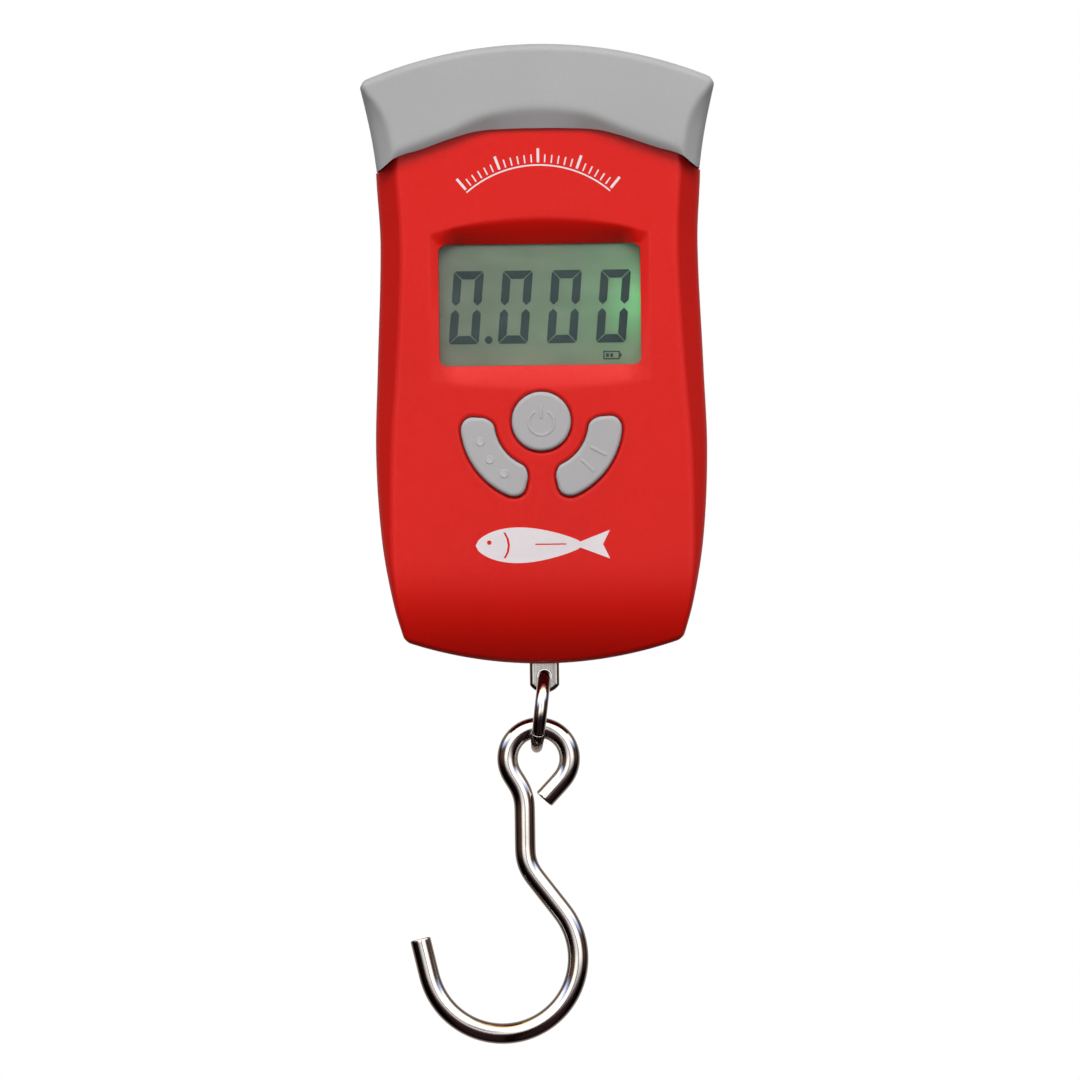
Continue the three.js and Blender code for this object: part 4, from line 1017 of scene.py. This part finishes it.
def lit(name, outline, *holes):
    flat_mark(name, outline, PANEL_FRONT, 0.05, 0.02, holes, DIGIT)


def display():
    snug = 0.06
    half = WINDOW_HALF_WIDTH - snug
    pane = rounded_box(-half, half, WINDOW_TOP + snug, WINDOW_BOTTOM - snug, WINDOW_CORNER)
    rings = edge_rings(PANE_FRONT, PANE_FRONT + 0.12, 0.12, 4) + [(0, PANE_BACK)]
    body = ringed("lcd_window_fine", pane, rings)
    finish_shape(body, "lcd_window", "case", PANE)
    panel = rounded_box(-WINDOW_HALF_WIDTH, WINDOW_HALF_WIDTH, WINDOW_TOP, WINDOW_BOTTOM, 0.4, 4)
    rings = edge_rings(PANEL_FRONT, PANEL_FRONT + 0.1, 0.1, 3) + [(0, PANEL_BACK)]
    body = ringed("lcd_panel_fine", panel, rings)
    finish_shape(body, "lcd_panel", "case", DISPLAY)
    for n in range(4):
        for name, outline in segment_outlines((n - 1.5) * DIGIT_PITCH, DIGITS_BELOW):
            lit(f"digit_{n + 1}_{name}", outline)
    lit("digit_point", circle(*POINT, POINT_RADIUS, 32))
    cell = ((-1.7, -0.8), (1.4, -0.8), (1.4, -0.35), (1.7, -0.35), (1.7, 0.35), (1.4, 0.35), (1.4, 0.8),
            (-1.7, 0.8))
    inside = ((-1.45, -0.55), (1.15, -0.55), (1.15, 0.55), (-1.45, 0.55))
    lit("charge_symbol", shifted(cell, *SYMBOL), shifted(inside, *SYMBOL))
    for n in range(2):
        start = 0.8 * n - 1.2
        bar = rounded_box(start, start + 0.55, -0.35, 0.35, 0.05, 2)
        lit(f"charge_bar_{n + 1}", shifted(bar, *SYMBOL))


# ---- Screws that show at the back ----

def screw(node_name, x, below, head_under, head_height):
    """A cross-head screw, from the rounded edge of its head to its point."""
    face = head_under + head_height
    rings = edge_rings(face, face - head_height * 0.45, 0.7) + [
        (0, head_under), (SHANK - HEAD, head_under), (SHANK - HEAD, head_under - 8),
        (0.5 - HEAD, head_under - 9)]
    body = ringed(node_name + "_fine", circle(x, below, HEAD), rings)
    for wide, tall in ((1.35, 0.3), (0.3, 1.35)):
        slot = rounded_box(x - wide, x + wide, below - tall, below + tall, 0.12, 3)
        combine(body, "DIFFERENCE", ringed("tool", slot, [(-0.15, face - 0.9), (0.05, face + 0.1)]))
    finish_shape(body, node_name, "case", SCREW_STEEL)


def screws():
    for n, place in enumerate(CASE_SCREWS):
        screw(f"case_screw_{n + 1}", *place, CASE_SEAT + GAP, CASE_HEAD_HEIGHT)
    for word, place in zip(("left", "right"), GRIP_SCREWS):
        screw(f"grip_screw_{word}", *place, GRIP_SEAT + GAP, GRIP_HEAD_HEIGHT)


# ---- Hanging gear ----

def hook_line():
    """Points along the hook's centre line, from the end of its eye."""
    heading = math.radians(HOOK_HEADING)
    eye = np.array([HOOK_EYE[0], level(HOOK_EYE[1])])
    at = eye + HOOK_EYE_RADIUS * towards(heading - math.pi / 2) - HOOK_RUNS[0][1] * towards(heading)
    points = [at]
    for kind, size, degrees in HOOK_RUNS:
        if kind == "straight":
            count = max(2, round(size / HOOK_STEP))
            points += [at + size * (n + 1) / count * towards(heading) for n in range(count)]
        else:
            side = 1 if kind == "left" else -1
            turn = side * math.radians(degrees)
            first = heading - side * math.pi / 2
            centre = at - size * towards(first)
            count = max(3, round(size * abs(turn) / HOOK_STEP))
            points += [centre + size * towards(first + turn * (n + 1) / count) for n in range(count)]
            heading += turn
        at = points[-1]
    return np.array([(x, 0, z + HOOK_LIFT) for x, z in points])


def hook():
    line = hook_line()
    for _ in range(8):  # softens the change from a straight run to a bend
        line[1:-1] = (line[:-2] + 2 * line[1:-1] + line[2:]) / 4
    finish_shape(swept("hook_fine", line, (0, 1, 0), HOOK_WIRE, 48, 0.35), "hook", "hook", STEEL_WIRE)


def link_ring():
    turns = math.radians(RING_SEAM) + np.linspace(RING_SEAM_GAP, 2 * math.pi - RING_SEAM_GAP, 140)
    ring = np.stack([0 * turns, RING_RADIUS * np.cos(turns), RING_RADIUS * (np.sin(turns) - 1)], 1)
    tilt = np.array(Matrix.Rotation(math.radians(RING_TILT), 3, "Y"))
    body = swept("link_ring_fine", ring @ tilt.T + (0, 0, level(RING_BELOW)), tilt[:, 0], RING_WIRE, 40, 0.14)
    finish_shape(body, "link_ring", "ring", STEEL_RING)


def hanger_tongue():
    lean = math.acos(TONGUE_HALF_WIDTH / TONGUE_END_RADIUS)
    outline = [(-TONGUE_HALF_WIDTH, TONGUE_TOP), (TONGUE_HALF_WIDTH, TONGUE_TOP)]
    for angle in np.linspace(lean, math.pi - lean, 33):
        outline.append(tuple(TONGUE_END_RADIUS * towards(angle) + (0, TONGUE_HOLE_BELOW)))
    depth = TONGUE_HALF_DEPTH
    rings = edge_rings(-depth, TONGUE_EDGE - depth, TONGUE_EDGE)
    rings += edge_rings(depth, depth - TONGUE_EDGE, TONGUE_EDGE)[::-1]
    body = ringed("hanger_tongue_fine", outline, rings)
    flare = [(0.1, -depth - 0.05), (0.02, -depth + 0.05), (0, 0), (0.02, depth - 0.05), (0.1, depth + 0.05)]
    combine(body, "DIFFERENCE", ringed("tool", circle(0, RING_BELOW, RING_WIRE + TONGUE_HOLE_GAP, 64), flare),
            prism(circle(0, PIN_BELOW, PIN_RADIUS + GAP, 32), -5, 5))
    finish_shape(body, "hanger_tongue", "case", STEEL_PLATE)


# ---- Battery cells ----

CELL_RADIUS = 5.25
CELL_LENGTH = 44.5
CELL_NUB = 0.8
CELL_NUB_RADIUS = 1.9
CELL_X = 5.9
CELL_Y = 4.95


def upright(x, start, end):
    return np.array([(x, CELL_Y, level(below)) for below in np.linspace(start, end, 14)])


def battery_cells():
    """Two cells, one either way up. positive is the height of the tip, and way is 1 where the tip is up."""
    for name, x, positive, way in (("battery_left", -CELL_X, 33.4, 1), ("battery_right", CELL_X, 83.4, -1)):
        line = upright(x, positive + way * CELL_NUB, positive + way * CELL_LENGTH)
        sleeve = swept(f"{name}_fine", line, (1, 0, 0), CELL_RADIUS, 72, 0.5)
        finish_shape(sleeve, name, "case", CELL_SLEEVE)
        line = upright(x, positive, positive + way * (CELL_NUB + 0.3))
        nub = swept(f"{name}_nub", line, (1, 0, 0), CELL_NUB_RADIUS, 40, 0.3)
        finish_shape(nub, None, "case", SCREW_STEEL)


# ---- Printed marks: a dial's scale and a fish, in place of lettering ----

DIAL_CENTRE_BELOW = 43.0
DIAL_RADIUS = 20.5
DIAL_SPREAD = 40.0
DIAL_TICKS = 25
FISH_BELOW = 93.2
FISH_LENGTH = 25.0
FISH_HALF_HEIGHT = 3.1
FISH_BODY = 0.78 * FISH_LENGTH
FISH_NOSE = -FISH_LENGTH / 2
FISH_STEPS = 40


def printed(name, outline, *holes):
    flat_mark(name, outline, -CASE_HALF_DEPTH, 0.03, 0.05, holes, INK)


def dial_scale():
    """A fan of tick marks over a thin arc, every sixth one longer."""
    for n in range(DIAL_TICKS):
        sin, cos = towards(math.radians(DIAL_SPREAD * (2 * n / (DIAL_TICKS - 1) - 1)))[::-1]
        length, half = (2.6, 0.24) if n % 6 == 0 else (1.5, 0.13)
        near, far = DIAL_RADIUS + 0.5, DIAL_RADIUS + 0.5 + length
        printed(f"dial_tick_{n + 1}", [
            (radius * sin + across * cos, DIAL_CENTRE_BELOW - radius * cos + across * sin)
            for across, radius in ((-half, near), (half, near), (half, far), (-half, far))])
    band = arc_band(DIAL_RADIUS, 0.28, -DIAL_SPREAD - 0.7, DIAL_SPREAD + 0.7, DIAL_CENTRE_BELOW)
    printed("dial_arc", band)


def fish_mark():
    """A plain fish seen from the side, with its eye, gill and side line left open."""
    upper = []
    for t in np.arange(FISH_STEPS + 1) / FISH_STEPS:
        height = FISH_HALF_HEIGHT * abs(math.sin(math.pi * t ** 0.72)) ** 0.8 + 0.55 * t
        upper.append((FISH_NOSE + FISH_BODY * t, height))
    tail = -FISH_NOSE
    upper.append((tail, 0.86 * FISH_HALF_HEIGHT))
    outline = [(x, -h) for x, h in upper] + [(tail - 1.3, 0)] + upper[:0:-1]
    eye = circle(FISH_NOSE + 0.13 * FISH_BODY, FISH_BELOW - 0.55, 0.42, 24)
    gill = ((-0.1, -2.4), (0.5, -1.2), (0.7, 0), (0.5, 1.2), (-0.1, 2.4), (0.3, 2.4), (0.92, 1.2), (1.12, 0),
            (0.92, -1.2), (0.3, -2.4))
    side_line = ((-1.4, -0.25), (4.4, -0.25), (4.4, 0.0), (-1.4, 0.0))
    printed("fish_mark", shifted(outline, 0, FISH_BELOW), eye,
            shifted(gill, FISH_NOSE + 0.27 * FISH_BODY, FISH_BELOW), shifted(side_line, 0, FISH_BELOW))


for build in (front_cover, rear_cover, grip_cap, battery_door, keys, display, screws, hook, link_ring,
              hanger_tongue, battery_cells, dial_scale, fish_mark):
    build()

# ---- Inside: the CAD's own shapes with detailed materials ----

for material, node_names in (
    (plastic("white_frame", (0.72, 0.71, 0.67), 0.55), "lcd_holder"),
    (plastic("light_guide", (0.62, 0.68, 0.63), 0.3, grain_depth=0.00001), "backlight_diffuser"),
    (plastic("led_green", (0.14, 0.5, 0.2), 0.3, grain_depth=0.00001), "backlight_led"),
    (plastic("zebra_rubber", (0.03, 0.03, 0.033), 0.75, 2500, 0.00006), "zebra_strip"),
    (plastic("board_lacquer", (0.02, 0.13, 0.05), 0.32, 1800, 0.00002), "circuit_board"),
    (metal("milled_aluminium", (0.74, 0.75, 0.76), 0.33, (0.08, 1, 1), 2400), "load_cell"),
    (metal("pin_steel", (0.6, 0.59, 0.57), 0.22, (1, 0.1, 1)), "hanger_pin"),
    (metal("crystal_can", (0.7, 0.7, 0.69), 0.28, (1, 1, 0.1)), "crystal"),
    (metal("capacitor_can", (0.66, 0.66, 0.67), 0.3, (1, 1, 0.1)), "filter_capacitor"),
    (plastic("chip_epoxy", (0.014, 0.014, 0.016), 0.5, 2600, 0.00004),
     "main_chip adc_chip power_switch left_switch right_switch"),
    (plastic("plunger_nylon", (0.66, 0.65, 0.62), 0.5), "power_plunger left_plunger right_plunger"),
    (metal("nickel_plating", (0.68, 0.66, 0.61), 0.26, (1, 1, 0.12)),
     "positive_contact negative_contact bridge_contact bridge_spring negative_spring"),
    (plastic("gauge_film", (0.5, 0.26, 0.06), 0.35, 3200, 0.00001), "gauge_left gauge_right"),
    (SCREW_STEEL, "board_screw_left board_screw_right load_cell_screw_left load_cell_screw_right"),
    (plastic("sleeve_red", (0.45, 0.02, 0.014), 0.42), "battery_wire_positive gauge_wire_1"),
    (plastic("sleeve_black", (0.02, 0.02, 0.022), 0.42), "battery_wire_negative gauge_wire_4"),
    (plastic("sleeve_white", (0.75, 0.75, 0.73), 0.42), "gauge_wire_3"),
    (plastic("sleeve_green", (0.03, 0.25, 0.07), 0.42), "gauge_wire_2"),
):
    for node_name in node_names.split():
        paint(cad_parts[node_name], material)

# ---- Floor, light and camera, in metres ----

OBJECT_MIDDLE = Vector((0, 0, -0.081))
FLOOR_LEVEL = -0.30
GLOSS_LIGHT = 2.1
PICTURE_HEIGHT = 0.2013
CAMERA_DISTANCE = 4.0
CAMERA_ROLL = math.radians(-0.73)  # the object leans a little in the picture


def floor():
    sides, radii = 96, (250, 500, 800)
    points = [(x, y, FLOOR_LEVEL / MM) for radius in radii for x, y in circle(0, 0, radius, sides)]
    body = object_of("studio_floor", points, [list(range(sides)), *tube_faces(len(radii), sides)[:-2]])
    material, shader, where = node_tree("studio_paper")
    fine = noise(where, 900, 4)
    paper = ramp(noise(where, 6, 4), ((0.3, (0.8, 0.8, 0.79)), (0.7, (0.84, 0.84, 0.83))))
    feed(shader, Base_Color=paper, Roughness=spanned(fine, 0.8, 0.95))
    bumped(shader, [(fine, 0.0001, 0.15)])
    paint(body, material)
    body.visible_diffuse = False
    body.visible_glossy = False


def studio_world():
    """A bright room with dark corners for reflections, a dim one for diffuse light, and plain white behind
    the object. In each ramp 0 is straight against an axis and 1 straight along it."""
    world = bpy.data.worlds.new("studio")
    world.use_nodes = True
    tree = world.node_tree
    white = tree.nodes["Background"]
    feed(white, Color=(1, 1, 1, 1))
    axes = node(tree, "SeparateXYZ", Vector=node(tree, "TexCoord").outputs["Generated"]).outputs

    def turned(axis, *stops):
        return ramp(spanned(axes[axis], 0, 1, -1, 1), stops)

    sideways = turned(
        "X", (0.0, (0.035, 0.018, 0.012)), (0.19, (0.08, 0.05, 0.035)), (0.26, (0.7, 0.67, 0.65)),
        (0.33, 1.0), (0.49, (0.85, 0.84, 0.83)), (0.515, (0.2, 0.17, 0.16)), (0.56, (0.2, 0.17, 0.16)),
        (0.6, (0.95, 0.94, 0.92)), (0.77, 1.0), (0.84, (0.5, 0.47, 0.45)), (0.91, (0.03, 0.012, 0.01)),
        (1.0, (0.05, 0.03, 0.022)))
    upwards = turned(
        "Z", (0.0, (0.012, 0.006, 0.008)), (0.3, (0.014, 0.007, 0.009)), (0.4, (0.06, 0.042, 0.045)),
        (0.46, (0.4, 0.41, 0.45)), (0.52, 1.0), (0.85, 1.0), (1.0, (0.3, 0.24, 0.2)))
    overhead = turned(
        "Z", (0.62, 0.0), (0.69, (0.35, 0.45, 0.75)), (0.75, 1.0), (0.93, (1.0, 0.97, 0.86)),
        (0.975, (0.85, 0.55, 0.25)), (1.0, (0.12, 0.07, 0.05)))
    frontal = turned(
        "Y", (0.0, 1.0), (0.4, 1.0), (0.52, (0.25, 0.22, 0.2)), (0.62, (0.08, 0.06, 0.055)), (1.0, 0.05))
    backwards = turned(
        "Y", (0.6, 0.0), (0.72, (0.06, 0.045, 0.04)), (0.82, (0.16, 0.145, 0.135)),
        (0.93, (0.2, 0.185, 0.175)), (0.97, (0.55, 0.54, 0.53)), (1.0, 0.8))
    around = mixed(1.0, mixed(1.0, sideways, upwards, "MULTIPLY"), overhead, "LIGHTEN")
    around = mixed(1.0, mixed(1.0, around, frontal, "MULTIPLY"), backwards, "LIGHTEN")
    shiny = node(tree, "Background", Color=around, Strength=GLOSS_LIGHT)
    soft = node(tree, "Background", Color=turned("Z", (0.0, (0.02, 0.02, 0.022)), (0.42, 0.06), (0.55, 0.15),
                                                 (1.0, 0.25)))
    ray = node(tree, "LightPath").outputs
    surface = either(ray["Is Glossy Ray"], soft.outputs["Background"], shiny.outputs["Background"])
    surface = either(ray["Is Camera Ray"], surface, white.outputs["Background"])
    feed(tree.nodes["World Output"], Surface=surface)
    bpy.context.scene.world = world


def area_light(name, place, width, height, power):
    """A soft light that points at the object and isn't reflected in it: reflections come from the world."""
    data = bpy.data.lights.new(name, "AREA")
    data.shape = "RECTANGLE"
    data.size, data.size_y = width, height
    data.energy = power
    lamp = bpy.data.objects.new(name, data)
    lamp.location = place
    lamp.rotation_euler = (OBJECT_MIDDLE - Vector(place)).to_track_quat("-Z", "Y").to_euler()
    lamp.visible_glossy = False
    bpy.context.scene.collection.objects.link(lamp)


def camera():
    """A long lens square to the front."""
    data = bpy.data.cameras.new("camera")
    data.sensor_width = 36
    data.lens = 36 * CAMERA_DISTANCE / PICTURE_HEIGHT
    data.clip_start, data.clip_end = 0.05, 20
    eye = bpy.data.objects.new("camera", data)
    eye.matrix_world = Matrix.Translation((-0.00052, -0.005 - CAMERA_DISTANCE, -0.08027)) @ Matrix.Rotation(
        math.radians(90), 4, "X") @ Matrix.Rotation(CAMERA_ROLL, 4, "Z")
    bpy.context.scene.collection.objects.link(eye)
    bpy.context.scene.camera = eye


floor()
studio_world()
for light in (
    ("key_softbox", (-0.02, -0.66, 0.52), 0.9, 0.45, 6.9),
    ("front_fill", (0.0, -0.95, -0.1), 0.4, 0.6, 1.3),
    ("left_fill", (-0.8, -0.35, 0.1), 0.4, 0.6, 1.25),
    ("right_fill", (0.8, -0.35, 0.1), 0.4, 0.6, 1.2),
    ("back_softbox", (0.15, 0.75, 0.45), 0.8, 0.5, 6.5),
):
    area_light(*light)
camera()
colours = bpy.context.scene.view_settings
colours.view_transform = "Standard"
colours.look = "None"
colours.exposure = 0.0
